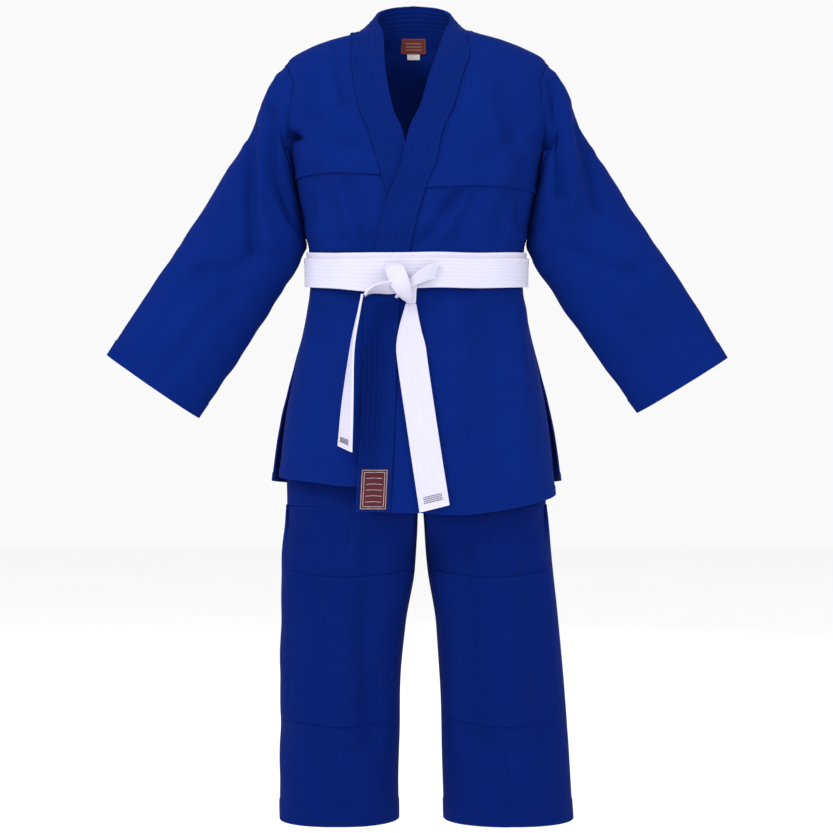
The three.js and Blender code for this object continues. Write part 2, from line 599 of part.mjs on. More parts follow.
const GUSSET_WIDTH = 4.2;
function addGusset() {
  const middle = (RIGHT_LEG_SECTIONS[0][2] + LEFT_LEG_SECTIONS[0][2]) / 2;
  const length = 84 + 90 - 2 * GAP;
  const outline = [[-0.5, -0.5], [0, -0.46], [0.5, -0.5], [0.5, 0.5], [0, 0.46], [-0.5, 0.5]];
  const corners = outline.map(([x, y]) => new THREE.Vector2(x * GUSSET_WIDTH, y * length));
  const shape = new THREE.Shape(corners);
  const geometry = new THREE.ExtrudeGeometry(shape, { depth: CLOTH, bevelEnabled: false });
  geometry.translate(middle, 3, CROTCH_Z - CLOTH);
  add('crotch_gusset', geometry, trouserCloth);
}

addJacketFronts();
addJacketBack();
addJacketSkirts();
addBand();
addTrims();
add('sleeve_left', sleeve(OVER, LEFT_SLEEVE_SECTIONS), jacketCloth);
add('sleeve_right', sleeve(UNDER, RIGHT_SLEEVE_SECTIONS), jacketCloth);
addBelt();
addSeat();
addLegs();
addGusset();

export default uniform;
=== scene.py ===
import math
import bpy
import numpy as np
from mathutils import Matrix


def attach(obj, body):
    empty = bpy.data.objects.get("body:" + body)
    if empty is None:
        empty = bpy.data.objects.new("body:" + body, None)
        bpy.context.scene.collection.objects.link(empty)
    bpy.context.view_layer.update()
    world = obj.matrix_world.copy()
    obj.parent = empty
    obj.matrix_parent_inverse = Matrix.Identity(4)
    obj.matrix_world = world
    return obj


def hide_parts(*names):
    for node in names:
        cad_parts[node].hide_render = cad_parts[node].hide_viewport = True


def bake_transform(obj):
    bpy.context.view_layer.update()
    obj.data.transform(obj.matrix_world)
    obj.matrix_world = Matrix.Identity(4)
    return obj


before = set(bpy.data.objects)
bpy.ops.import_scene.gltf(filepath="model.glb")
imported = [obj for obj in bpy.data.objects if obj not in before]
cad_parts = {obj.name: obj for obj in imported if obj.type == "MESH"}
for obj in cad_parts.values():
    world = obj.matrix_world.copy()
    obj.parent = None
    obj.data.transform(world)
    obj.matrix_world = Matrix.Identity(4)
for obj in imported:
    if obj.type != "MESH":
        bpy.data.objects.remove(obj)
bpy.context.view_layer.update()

# Martial arts uniform: crossed jacket, knotted belt and trousers, hanging as if worn.
# The sizes below are millimetres, in the frame of the CAD; meshes are made in metres.
MM = 0.001

# ---------- sizes shared with the CAD ----------
CLOTH = 1.8
BAND = 5.0
BAND_WIDTH = 46
BELT = 3.0
BELT_WIDTH = 40
LAYER_GAP = 0.9
SHOULDER_TIP_Z = -35
ARMHOLE_HEIGHT = 122
ARMHOLE_DEPTH = 112
YOKE_HEM_Z = {"left": -216, "right": -198, "back": -200}
SKIRT_HINGE_Z = -378
BELT_MID_Z = -322
BELT_TILT = 0.1
WRAP_STAGGER = 8
WAIST_TOP_Z = -302
WAISTBAND = 38
CROTCH_Z = -650
LEG_END_Z = -1086
PATCH = (35, 54)
NECK_LABEL = (33, 22)
SIZE_TAB = (17, 8)
NECK_X = -4
LEFT, RIGHT = 1, -1

JACKET_SECTIONS = [
    (24, 58, 34, 60, 2.2), (10, 70, 42, 63, 2.2), (2, 95, 46, 64, 2.2), (-4, 118, 48, 64, 2.3),
    (-17, 152, 51, 63, 2.5), (-34, 178, 57, 66, 2.9), (-60, 186, 68, 76, 3.4), (-100, 186, 82, 86, 3.6),
    (-157, 176, 92, 92, 3.1), (-200, 166, 94, 92, 2.7), (-294, 148, 92, 88, 2.5), (-340, 146, 92, 88, 2.5),
    (-378, 150, 94, 90, 2.5), (-454, 166, 99, 96, 2.4), (-540, 182, 103, 100, 2.4), (-660, 194, 108, 104, 2.4),
]
BACK_FLARE = 10
SEAT_SECTIONS = [
    (WAIST_TOP_Z, 122, 74, 72, 2.3), (-340, 124, 76, 74, 2.3), (-450, 138, 82, 84, 2.3),
    (-560, 160, 84, 90, 2.3), (CROTCH_Z, 178, 84, 90, 2.4),
]
LEG_SECTIONS = {
    RIGHT: [(CROTCH_Z, -180, 1, 80), (-739, -187, -4, 76), (-823, -188, -18, 72), (-924, -189, -25, 69),
            (LEG_END_Z, -189, -27, 65)],
    LEFT: [(CROTCH_Z, 180, 10, 80), (-739, 189, 17, 76), (-823, 197, 30, 72), (-924, 206, 35, 69),
           (LEG_END_Z, 217, 40, 65)],
}
SLEEVE_SECTIONS = {
    RIGHT: [(-187, -36, -187, -156, 56), (-206, -72, -173, -205, 57), (-234, -134, -163, -262, 55),
            (-262, -180, -161, -302, 51), (-319, -269, -192, -359, 42), (-375, -353, -246, -443, 34),
            (-433, -441, -305, -529, 28)],
    LEFT: [(187, -36, 187, -156, 56), (206, -72, 173, -205, 57), (235, -134, 163, -262, 55),
           (264, -180, 161, -302, 51), (322, -269, 194, -359, 42), (379, -353, 250, -440, 34),
           (435, -445, 309, -522, 28)],
}
OVER_EDGE = [(-34, 27), (-71, 15), (-104, 6), (-144, -11), (-186, -20), (-222, -34), (-257, -44),
             (-297, -53), (-375, -68), (-505, -73), (-655, -80)]
UNDER_EDGE = [(-34, -44), (-70, -40), (-116, -30), (-138, -20), (-200, -2), (-297, 27), (-378, 34),
              (-640, 44)]
OVER_HEM = [(-40, -655), (0, -656), (30, -659), (50, -654), (70, -643), (90, -633)]
UNDER_HEM = [(-90, -610), (-60, -616), (-45, -621), (30, -621)]
BACK_HEM = [(90, -618), (130, -628), (180, -630)]
VENT = 4
COLLAR_TOP = [(42, -26, 2), (49, 0, 24), (46, 28, 43), (28, 49, 56), (0.4, 57, 61)]
COLLAR_SEAM = [(82, -22, 3), (80, 8, 6), (65, 36, 13), (37, 57, 20), (0.4, 65, 24)]
UNDER_COLLAR_SEAM = [(88, -22, 0.5), (84, 8, 3.5)] + COLLAR_SEAM[2:]
BAND_TURN_Z = -36
RIDGE_Z = 5


# ---------- small maths ----------
def mix(a, b, t):
    return a + (b - a) * t


def smooth(t):
    c = np.clip(t, 0, 1)
    return c * c * (3 - 2 * c)


def front_and_back(y):
    """Shares of the front and the back folds at a depth; both hold near the side."""
    return smooth((4 - y) / 22), smooth((4 + y) / 22)


def curve(rows, column=1):
    """Smooth curve through (key, value) rows that never overshoots its points."""
    pts = np.array(sorted((row[0], row[column]) for row in rows), float)
    x, y = pts[:, 0], pts[:, 1]
    slope = np.diff(y) / np.diff(x)
    product = slope[:-1] * slope[1:]
    total = np.where(product <= 0, 1, slope[:-1] + slope[1:])
    inner = np.where(product <= 0, 0, 2 * product / total)
    tangent = np.concatenate([slope[:1], inner, slope[-1:]])

    def value(key):
        k = np.clip(np.asarray(key, float), x[0], x[-1])
        i = np.clip(np.searchsorted(x, k) - 1, 0, len(x) - 2)
        span = x[i + 1] - x[i]
        t = (k - x[i]) / span
        rise = y[i + 1] - y[i]
        c = 3 * rise - span * (2 * tangent[i] + tangent[i + 1])
        d = span * (tangent[i] + tangent[i + 1]) - 2 * rise
        return y[i] + t * (span * tangent[i] + t * (c + t * d))
    return value


def unit(vectors):
    return vectors / np.maximum(np.linalg.norm(vectors, axis=-1, keepdims=True), 1e-9)


def grid_normals(points, closed=False):
    """Normals of a grid of points, rows down and columns across."""
    down = np.gradient(points, axis=0)
    if closed:
        across = np.roll(points, -1, axis=1) - np.roll(points, 1, axis=1)
    else:
        across = np.gradient(points, axis=1)
    return unit(np.cross(down, across))


def bisect(measure, target, low, high):
    lo = np.full(np.shape(target), float(low))
    hi = np.full(np.shape(target), float(high))
    for _ in range(34):
        middle = (lo + hi) / 2
        below = measure(middle) < target
        lo = np.where(below, middle, lo)
        hi = np.where(below, hi, middle)
    return (lo + hi) / 2


class Body:
    """Surface of stacked sections; the angle runs from the front middle, positive to the wearer's left."""

    def __init__(self, sections):
        self.half, self.front, self.back, self.square = (curve(sections, c) for c in (1, 2, 3, 4))

    def at(self, angle, z):
        angle, z = np.broadcast_arrays(np.asarray(angle, float), np.asarray(z, float))
        n = self.square(z)
        depth = np.where(np.cos(angle) > 0, self.front(z), self.back(z))
        total = np.abs(np.sin(angle) / self.half(z)) ** n + np.abs(np.cos(angle) / depth) ** n
        reach = total ** (-1 / n)
        return np.stack([reach * np.sin(angle), -reach * np.cos(angle), z], axis=-1)

    def normal(self, angle, z):
        across = self.at(angle + 0.01, z) - self.at(angle - 0.01, z)
        down = self.at(angle, z - 1) - self.at(angle, z + 1)
        return unit(np.cross(down, across))

    def angle_at_x(self, x, z):
        x, z = np.broadcast_arrays(np.asarray(x, float), np.asarray(z, float))
        return bisect(lambda a: self.at(a, z)[..., 0], x, -math.pi / 2, math.pi / 2)

    def angle_at_depth(self, y, z):
        y, z = np.broadcast_arrays(np.asarray(y, float), np.asarray(z, float))
        return bisect(lambda a: self.at(a, z)[..., 1], y, 0, math.pi)


# ---------- folds ----------
def crease(x, z, points, depth, width):
    """Hollow of a depth along a line of points, fading over its width and past its ends."""
    nearest = np.full(np.shape(x), 1e9)
    for (x0, z0), (x1, z1) in zip(points, points[1:]):
        length2 = (x1 - x0) ** 2 + (z1 - z0) ** 2
        t = np.clip(((x - x0) * (x1 - x0) + (z - z0) * (z1 - z0)) / length2, 0, 1)
        gap = np.hypot(x - mix(x0, x1, t), z - mix(z0, z1, t))
        nearest = np.minimum(nearest, gap)
    return depth * np.exp(-(nearest / width) ** 2)


def ripple(a, b, seed, waves=7, shortest=30.0, longest=110.0):
    """Soft unevenness: a fixed sum of waves over two lengths in millimetres, between -1 and 1."""
    rng = np.random.default_rng(seed)
    total = np.zeros(np.broadcast(a, b).shape)
    for _ in range(waves):
        heading = rng.uniform(0, math.pi)
        length = rng.uniform(shortest, longest)
        phase = rng.uniform(0, 2 * math.pi)
        total += np.sin((a * math.cos(heading) + b * math.sin(heading)) * 2 * math.pi / length + phase)
    return total / waves


FRONT_CREASES = [   # points, depth and width
    ([(-107, -20), (-104, -60), (-96, -100)], -5, 9),
    ([(56, -228), (30, -266), (8, -296)], -5, 9),
    ([(84, -222), (62, -262), (44, -292)], -3, 12),
    ([(-92, -214), (-70, -262), (-60, -292)], -3.5, 12),
    ([(-150, -176), (-118, -230), (-104, -290)], -4, 13),
    ([(146, -190), (122, -240), (108, -290)], -4, 13),
    ([(118, -50), (122, -96), (134, -150)], -4, 15),
    ([(-128, -48), (-136, -100), (-146, -150)], -4, 15),
    ([(96, -90), (104, -140), (128, -190)], 3, 14),
    ([(-60, -380), (-70, -470), (-66, -560)], -2, 18),
    ([(96, -384), (104, -470), (112, -600)], -4, 20),
    ([(60, -384), (64, -450), (66, -520)], 3, 16),
    ([(-122, -384), (-132, -470), (-140, -590)], -4, 18),
    ([(138, -384), (150, -480), (160, -600)], 3.5, 16),
    ([(-168, -150), (-158, -200), (-146, -250)], -6, 11),
    ([(-174, -148), (-167, -188)], -7, 9),
    ([(169, -162), (162, -205)], -7, 9),
    ([(160, -160), (152, -215), (142, -262)], -6, 11),
    ([(-150, -120), (-120, -150), (-84, -168)], -3, 12),
    ([(146, -128), (116, -160), (86, -182)], -3, 12),
    ([(-98, -238), (-84, -266), (-80, -292)], 3, 8),
    ([(64, -236), (46, -268), (30, -294)], 3, 7),
]
BACK_CREASES = [
    ([(-60, -60), (-20, -130), (-30, -200)], -4, 18),
    ([(64, -60), (30, -140), (34, -210)], -4, 18),
    ([(-120, -160), (-80, -230), (-70, -292)], -4, 15),
    ([(118, -160), (82, -230), (66, -292)], -4, 15),
    ([(0, -120), (4, -200), (0, -290)], 3, 20),
    ([(-80, -384), (-96, -480), (-104, -620)], -5, 20),
    ([(76, -384), (90, -480), (100, -620)], -5, 20),
    ([(-20, -384), (-24, -480), (-30, -620)], 4, 22),
    ([(30, -384), (34, -480), (30, -620)], -3, 18),
]
BLOUSE = 5.0            # how far the jacket puffs out just above the belt


def belt_grip(z, y):
    """1 under the belt, fading to 0 above and below it."""
    middle = BELT_MID_Z + BELT_TILT * y
    return 1 - smooth((np.abs(z - middle) - 24) / 26)


def jacket_folds(point):
    x, y, z = point[..., 0], point[..., 1], point[..., 2]
    front = smooth((-y + 8) / 30)
    back = smooth((y + 8) / 30)
    total = 1.5 * sum(crease(x, z, pts, d, w) for pts, d, w in FRONT_CREASES) * front
    total = total + 1.3 * sum(crease(x, z, pts, d, w) for pts, d, w in BACK_CREASES) * back
    around = np.arctan2(x, -y) * 130
    total = total + 1.5 * ripple(around, z, 3) + 0.7 * ripple(around, z, 4, shortest=14, longest=34)
    side = smooth((np.abs(x) - 138) / 20)
    total = total * (1 - 0.75 * side * (z < -150)) + BLOUSE * np.exp(-((z + 268) / 22) ** 2) * (1 - side)
    total = total + 3.0 * side * smooth((-150 - z) / 16) * smooth((z + 296) / 20)
    shoulder = smooth((-z - 12) / 60)
    return total * (1 - belt_grip(z, y)) * (0.35 + 0.65 * shoulder)


# ---------- meshes ----------
def link(mesh, name):
    obj = bpy.data.objects.new(name, mesh)
    bpy.context.scene.collection.objects.link(obj)
    return obj


def mesh_from(name, vertices, faces, uv=None, flat=None):
    """Mesh in metres from millimetre points; uv gives millimetres of cloth for each vertex."""
    mesh = bpy.data.meshes.new(name)
    mesh.from_pydata((np.asarray(vertices) * MM).tolist(), [], [tuple(f) for f in faces])
    mesh.update()
    smooth_flags = np.ones(len(mesh.polygons), bool)
    if flat is not None:
        smooth_flags[flat] = False
    mesh.polygons.foreach_set("use_smooth", smooth_flags)
    if uv is not None:
        layer = mesh.uv_layers.new(name="cloth")
        index = np.empty(len(mesh.loops), int)
        mesh.loops.foreach_get("vertex_index", index)
        layer.data.foreach_set("uv", (np.asarray(uv)[index] * MM).ravel())
    return mesh


def shell_faces(rows, cols, closed):
    """Quads of a closed solid whose vertices are an outer grid followed by an inner grid."""
    last = cols if closed else cols - 1
    i, j = np.meshgrid(np.arange(rows - 1), np.arange(last), indexing="ij")
    i, j = i.ravel(), j.ravel()
    nxt = (j + 1) % cols
    size = rows * cols
    outer = np.stack([i * cols + j, (i + 1) * cols + j, (i + 1) * cols + nxt, i * cols + nxt], 1)
    inner = outer[:, ::-1] + size
    j = np.arange(last)
    nxt = (j + 1) % cols
    end = (rows - 1) * cols
    top = np.stack([j, nxt, nxt + size, j + size], 1)
    bottom = np.stack([end + nxt, end + j, end + j + size, end + nxt + size], 1)
    rims = [top, bottom]
    if not closed:
        i = np.arange(rows - 1)
        rims.append(np.stack([(i + 1) * cols, i * cols, i * cols + size, (i + 1) * cols + size], 1))
        e = cols - 1
        a, b = i * cols + e, (i + 1) * cols + e
        rims.append(np.stack([a, b, b + size, a + size], 1))
    return np.concatenate([outer, inner] + rims), len(outer) + len(inner)


def cloth_lengths(points):
    """Millimetres of cloth along and across a grid, for the weave."""
    down = np.linalg.norm(np.diff(points, axis=0), axis=-1).mean(axis=1)
    across = np.linalg.norm(np.diff(points, axis=1), axis=-1).mean(axis=0)
    v = np.concatenate([[0], np.cumsum(down)])
    u = np.concatenate([[0], np.cumsum(across)])
    return np.stack(np.meshgrid(u, v), axis=-1)


def cloth_solid(name, outer, inner, material, closed=False, uv=None):
    """Closed piece of cloth between two grids, with sharp cut edges and a weave map."""
    rows, cols = outer.shape[:2]
    faces, broad = shell_faces(rows, cols, closed)
    vertices = np.concatenate([outer.reshape(-1, 3), inner.reshape(-1, 3)])
    volume = signed_volume(vertices, faces)
    if volume < 0:
        faces = faces[:, ::-1]
    uv = cloth_lengths(outer) if uv is None else uv
    flat_uv = np.concatenate([uv.reshape(-1, 2)] * 2)
    mesh = mesh_from(name, vertices, faces, flat_uv)
    mesh.materials.append(material)
    mesh.set_sharp_from_angle(angle=math.radians(50))
    return link(mesh, name)


def signed_volume(vertices, faces):
    a, b, c, d = (vertices[faces[:, k]] for k in range(4))
    return float(np.sum(a * np.cross(b, c)) + np.sum(a * np.cross(c, d)))


def stitch_row(path, normals, pitch=4.2, length=3.0, width=0.75, rise=0.35):
    """Thread of one row of stitches: a long, low eight-sided bead for each stitch."""
    steps = np.linalg.norm(np.diff(path, axis=0), axis=1)
    run = np.concatenate([[0], np.cumsum(steps)])
    count = max(int(run[-1] / pitch), 1)
    centres = (np.arange(count) + 0.5) * run[-1] / count

    def sample(values, s):
        return np.stack([np.interp(s, run, values[:, k]) for k in range(3)], axis=1)
    start, stop = sample(path, centres - length / 2), sample(path, centres + length / 2)
    middle, up = sample(path, centres), unit(sample(normals, centres))
    side = unit(np.cross(stop - start, up)) * width / 2
    high = middle + up * rise
    low = middle - up * rise
    corners = np.stack([start, stop, middle + side, middle - side, high, low], axis=1)
    pattern = np.array([(0, 2, 4), (2, 1, 4), (1, 3, 4), (3, 0, 4), (2, 0, 5), (1, 2, 5), (3, 1, 5), (0, 3, 5)])
    faces = pattern[None] + (np.arange(count) * 6)[:, None, None]
    return corners.reshape(-1, 3), faces.reshape(-1, 3)


def stitches(name, rows, material, **size):
    """One object holding several rows of stitches, given as (path, normals)."""
    vertices, faces, offset = [], [], 0
    for path, normals in rows:
        v, f = stitch_row(path, normals, **size)
        vertices.append(v)
        faces.append(f + offset)
        offset += len(v)
    mesh = mesh_from(name, np.concatenate(vertices), np.concatenate(faces))
    mesh.materials.append(material)
    return link(mesh, name)


# ---------- materials ----------
class Nodes:
    """Short hand for building a node tree."""

    def __init__(self, name):
        self.material = bpy.data.materials.new(name)
        self.material.use_nodes = True
        self.tree = self.material.node_tree
        self.shader = self.tree.nodes["Principled BSDF"]

    def add(self, kind, **settings):
        node = self.tree.nodes.new(kind)
        for key, value in settings.items():
            setattr(node, key, value)
        return node

    def join(self, source, target):
        self.tree.links.new(source, target)

    def math(self, operation, a, b=0.0):
        node = self.add("ShaderNodeMath", operation=operation)
        for socket, value in zip(node.inputs, (a, b)):
            if isinstance(value, (int, float)):
                socket.default_value = value
            else:
                self.join(value, socket)
        return node.outputs[0]

    def mix_colour(self, factor, a, b, blend="MIX"):
        node = self.add("ShaderNodeMix", data_type="RGBA", blend_type=blend)
        for socket, value in ((node.inputs[0], factor), (node.inputs[6], a), (node.inputs[7], b)):
            if isinstance(value, (int, float)):
                socket.default_value = value
            elif isinstance(value, tuple):
                socket.default_value = (*value, 1)
            else:
                self.join(value, socket)
        return node.outputs[2]

    def noise(self, vector, scale, detail=3.0):
        node = self.add("ShaderNodeTexNoise")
        node.inputs["Scale"].default_value = scale
        node.inputs["Detail"].default_value = detail
        self.join(vector, node.inputs["Vector"])
        return node.outputs["Fac"]

    def wave(self, vector, period, direction, distort=0.0):
        node = self.add("ShaderNodeTexWave", bands_direction=direction)
        node.inputs["Scale"].default_value = 2 * math.pi / 20 / period
        node.inputs["Distortion"].default_value = distort
        self.join(vector, node.inputs["Vector"])
        return node.outputs["Fac"]


def woven(name, colour, shade, pitch=0.0011, twill=False, roughness=0.9, sheen=0.05, relief=0.00022):
    """Woven cotton: crossing threads, slubs, washed patches and paler, worn folds."""
    n = Nodes(name)
    uv = n.add("ShaderNodeUVMap", uv_map="cloth").outputs[0]
    warp = n.wave(uv, pitch, "X", 0.3)
    weft = n.wave(uv, pitch, "DIAGONAL" if twill else "Y", 0.3)
    threads = n.math("MULTIPLY", warp, weft)
    slub = n.noise(uv, 420.0)
    patches = n.noise(uv, 9.0, 4.0)
    fleck = n.noise(uv, 90.0, 2.0)
    worn = n.add("ShaderNodeNewGeometry").outputs["Pointiness"]
    base = n.mix_colour(patches, shade, colour)
    pale = tuple(min(1.0, c * 1.3 + 0.0012) for c in colour)
    base = n.mix_colour(n.math("MULTIPLY", threads, 0.5), base, pale)
    base = n.mix_colour(n.math("MULTIPLY", fleck, 0.22), base, shade)
    edge = n.math("MULTIPLY", n.math("SUBTRACT", worn, 0.53), 4.0)
    ramp = n.add("ShaderNodeClamp")
    n.join(edge, ramp.inputs["Value"])
    ramp.inputs["Max"].default_value = 0.35
    base = n.mix_colour(ramp.outputs[0], base, pale)
    n.join(base, n.shader.inputs["Base Color"])
    rough = n.math("ADD", n.math("MULTIPLY", fleck, 0.12), roughness - 0.06)
    n.join(rough, n.shader.inputs["Roughness"])
    n.shader.inputs["Sheen Weight"].default_value = sheen
    n.shader.inputs["Sheen Roughness"].default_value = 0.45
    n.shader.inputs["Specular IOR Level"].default_value = 0.05
    n.shader.inputs["Sheen Tint"].default_value = (*pale, 1)
    bump = n.add("ShaderNodeBump")
    bump.inputs["Strength"].default_value = 0.6
    bump.inputs["Distance"].default_value = relief
    n.join(n.math("ADD", threads, n.math("MULTIPLY", slub, 0.6)), bump.inputs["Height"])
    n.join(bump.outputs[0], n.shader.inputs["Normal"])
    return n.material


def thread(name, colour):
    """Sewing thread, twisted, with small changes of shade."""
    n = Nodes(name)
    place = n.add("ShaderNodeTexCoord").outputs["Object"]
    twist = n.wave(place, 0.0008, "DIAGONAL")
    shade = n.noise(place, 300.0)
    dark = tuple(c * 0.6 for c in colour)
    base = n.mix_colour(n.math("MULTIPLY", twist, shade), colour, dark)
    n.join(base, n.shader.inputs["Base Color"])
    n.shader.inputs["Roughness"].default_value = 0.85
    n.shader.inputs["Specular IOR Level"].default_value = 0.05
    return n.material


def enamelled(name, colour):
    """Painted metal of the eyelets, with brushed marks."""
    n = Nodes(name)
    place = n.add("ShaderNodeTexCoord").outputs["Object"]
    marks = n.noise(place, 900.0)
    base = n.mix_colour(n.math("MULTIPLY", marks, 0.5), colour, tuple(min(1, c * 2) for c in colour))
    n.join(base, n.shader.inputs["Base Color"])
    n.join(n.math("ADD", n.math("MULTIPLY", marks, 0.3), 0.25), n.shader.inputs["Roughness"])
    n.shader.inputs["Metallic"].default_value = 0.8
    return n.material


JACKET = woven("jacket_cotton", (0.0011, 0.0150, 0.1600), (0.0006, 0.0098, 0.1120), pitch=0.0013)
LAPEL = woven("band_cotton", (0.0010, 0.0138, 0.1450), (0.0006, 0.0090, 0.1000), pitch=0.001)
TROUSER = woven("trouser_cotton", (0.0008, 0.0112, 0.1280), (0.0005, 0.0076, 0.0920), twill=True)
COTTON = woven("belt_cotton", (0.62, 0.605, 0.735), (0.54, 0.525, 0.665), pitch=0.0014, sheen=0.04)
MAROON = woven("patch_cotton", (0.100, 0.024, 0.034), (0.065, 0.015, 0.022), pitch=0.0008)
RUST = woven("label_satin", (0.200, 0.046, 0.032), (0.130, 0.030, 0.024), pitch=0.0005, roughness=0.55)
PALE = woven("tab_satin", (0.78, 0.77, 0.74), (0.66, 0.65, 0.62), pitch=0.0005, roughness=0.55)
BLUE_THREAD = thread("blue_thread", (0.0016, 0.0190, 0.1900))
DARK_THREAD = thread("dark_thread", (0.0013, 0.0150, 0.1500))
MARK_THREAD = thread("mark_thread", (0.012, 0.012, 0.018))
PALE_THREAD = thread("pale_thread", (0.61, 0.595, 0.725))
ROSE_THREAD = thread("patch_thread", (0.70, 0.62, 0.62))
EYELET = enamelled("eyelet_metal", (0.03, 0.05, 0.16))


# ---------- surfaces ----------
jacket = Body(JACKET_SECTIONS)
seat = Body(SEAT_SECTIONS)
edge_of = {LEFT: curve(OVER_EDGE), RIGHT: curve(UNDER_EDGE)}
CLIMB = BAND + LAYER_GAP
SEAM_GAP = 0.5           # the cloth runs up to the band here


def climb(x, z):
    return CLIMB * smooth((edge_of[RIGHT](z) + 40 - x) / 34)


def flat_lift(x, z):
    return np.zeros(np.broadcast(x, z).shape)


def flare(x, z):
    return BACK_FLARE * smooth((SKIRT_HINGE_Z - z) / 250) + 0 * x


def armhole_half(z):
    t = (z - (SHOULDER_TIP_Z - ARMHOLE_HEIGHT / 2)) / (ARMHOLE_HEIGHT / 2)
    return ARMHOLE_DEPTH / 2 * np.sqrt(np.clip(1 - t * t, 0, 1))


def front_side(side):
    return lambda z: side * (jacket.angle_at_depth(-armhole_half(z), z) - 0.0010)


def back_side(side):
    return lambda z: side * (jacket.angle_at_depth(armhole_half(z), z) + 0.0010)


def vent_edge(side):
    opening = math.radians(VENT)
    return lambda z: side * (jacket.angle_at_depth(-armhole_half(z), z) - 0.0010
                             - opening * smooth((SKIRT_HINGE_Z - z) / 200))


# ---------- cloth simulation ----------
def drape(points, hold, closed=True, frames=34, grow=0.03, gravity=0.35, limit=7.0):
    """Let a grid of cloth settle under its own weight; returns how far each point moved, in mm.

    hold is 1 where the cloth is held and smaller where it is only steadied by what is under it.
    """
    rows, cols = points.shape[:2]
    last = cols if closed else cols - 1
    i, j = np.meshgrid(np.arange(rows - 1), np.arange(last), indexing="ij")
    i, j = i.ravel(), j.ravel()
    nxt = (j + 1) % cols
    faces = np.stack([i * cols + j, (i + 1) * cols + j, (i + 1) * cols + nxt, i * cols + nxt], 1)
    obj = link(mesh_from("settling_cloth", points.reshape(-1, 3), faces), "settling_cloth")
    group = obj.vertex_groups.new(name="hold")
    for index, weight in enumerate(hold.ravel()):
        group.add([index], float(weight), "REPLACE")
    modifier = obj.modifiers.new("cloth", "CLOTH")
    cloth = modifier.settings
    cloth.quality = 4
    cloth.mass = 0.02
    cloth.tension_stiffness = cloth.compression_stiffness = 8
    cloth.shear_stiffness = 2
    cloth.bending_stiffness = 0.02
    cloth.air_damping = 4
    cloth.vertex_group_mass = "hold"
    cloth.pin_stiffness = 40
    cloth.shrink_min = -grow
    cloth.effector_weights.gravity = gravity
    modifier.collision_settings.use_collision = False
    modifier.point_cache.frame_start = 1
    modifier.point_cache.frame_end = frames
    scene = bpy.context.scene
    for frame_number in range(1, frames + 1):
        scene.frame_set(frame_number)
    settled = obj.evaluated_get(bpy.context.evaluated_depsgraph_get()).to_mesh()
    moved = np.empty(rows * cols * 3)
    settled.vertices.foreach_get("co", moved)
    moved = moved.reshape(rows, cols, 3) / MM - points
    scene.frame_set(1)
    mesh = obj.data
    bpy.data.objects.remove(obj)
    bpy.data.meshes.remove(mesh)
    size = np.linalg.norm(moved, axis=-1, keepdims=True)
    return moved * (limit * np.tanh(size / limit) / np.maximum(size, 1e-6))


class Field:
    """Displacements on a grid, read at any pair of keys; the second key goes round when closed."""

    def __init__(self, keys_a, keys_b, values, period=None):
        if period is not None:
            keys_b = np.append(keys_b, keys_b[0] + period)
            values = np.concatenate([values, values[:, :1]], axis=1)
        self.a, self.b, self.values, self.period = keys_a, keys_b, values, period

    def __call__(self, a, b):
        a, b = np.broadcast_arrays(np.asarray(a, float), np.asarray(b, float))
        if self.period is not None:
            b = (b - self.b[0]) % self.period + self.b[0]
        i, s = self.split(self.a, a)
        j, t = self.split(self.b, b)
        s, t = s[..., None], t[..., None]
        v = self.values
        return ((v[i, j] * (1 - t) + v[i, j + 1] * t) * (1 - s)
                + (v[i + 1, j] * (1 - t) + v[i + 1, j + 1] * t) * s)

    @staticmethod
    def split(keys, value):
        k = np.clip(value, keys[0], keys[-1])
        i = np.clip(np.searchsorted(keys, k) - 1, 0, len(keys) - 2)
        return i, (k - keys[i]) / (keys[i + 1] - keys[i])


def settle_jacket():
    z = np.linspace(-660, 24, 92)
    angle = np.linspace(-math.pi, math.pi, 128, endpoint=False)
    zz, aa = np.meshgrid(z, angle, indexing="ij")
    points = jacket.at(aa, zz)
    x, y = points[..., 0], points[..., 1]
    hold = 0.62 + 0.38 * smooth((zz + 62) / 30)
    hold = np.maximum(hold, belt_grip(zz, y))
    armhole = smooth((np.abs(x) - 150) / 20) * smooth((zz + 190) / 20)
    hold = np.maximum(hold, armhole)
    hold = np.where(zz < SKIRT_HINGE_Z, np.maximum(belt_grip(zz, y), 0.6), hold)
    moved = drape(points, hold)
    return Field(z, angle, moved, 2 * math.pi)


jacket_field = settle_jacket()


def jacket_shift(base, normal, angle, z):
    """How the cloth of the jacket moves away from its plain shape: settled cloth and folds."""
    quiet = 1 - belt_grip(base[..., 2], base[..., 1])
    neck = smooth((-base[..., 2] - 20) / 40)
    beside = smooth((np.abs(base[..., 0]) - 132) / 22) * smooth((base[..., 2] + 400) / 40)
    quiet = quiet * (1 - 0.8 * beside)
    settled = jacket_field(z, angle) * (quiet * neck)[..., None]
    return normal * jacket_folds(base)[..., None] + settled


def declare(points, nodes=()):
    if nodes:
        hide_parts(*nodes)


def spread(count, *dense):
    """Steps from 0 to 1, with extra ones close to the given places."""
    steps = set(np.round(np.linspace(0, 1, count), 6))
    for place, reach, extra in dense:
        steps |= set(np.round(np.clip(np.linspace(place - reach, place + reach, extra), 0, 1), 6))
    ordered = np.array(sorted(steps))
    keep = np.concatenate([[True], np.diff(ordered) > 1e-4])
    return ordered[keep]


def swell(distance, width, height):
    """A folded hem: cloth raised by a height up to a width from its edge."""
    return height * (1 - smooth((distance - width) / 1.6))


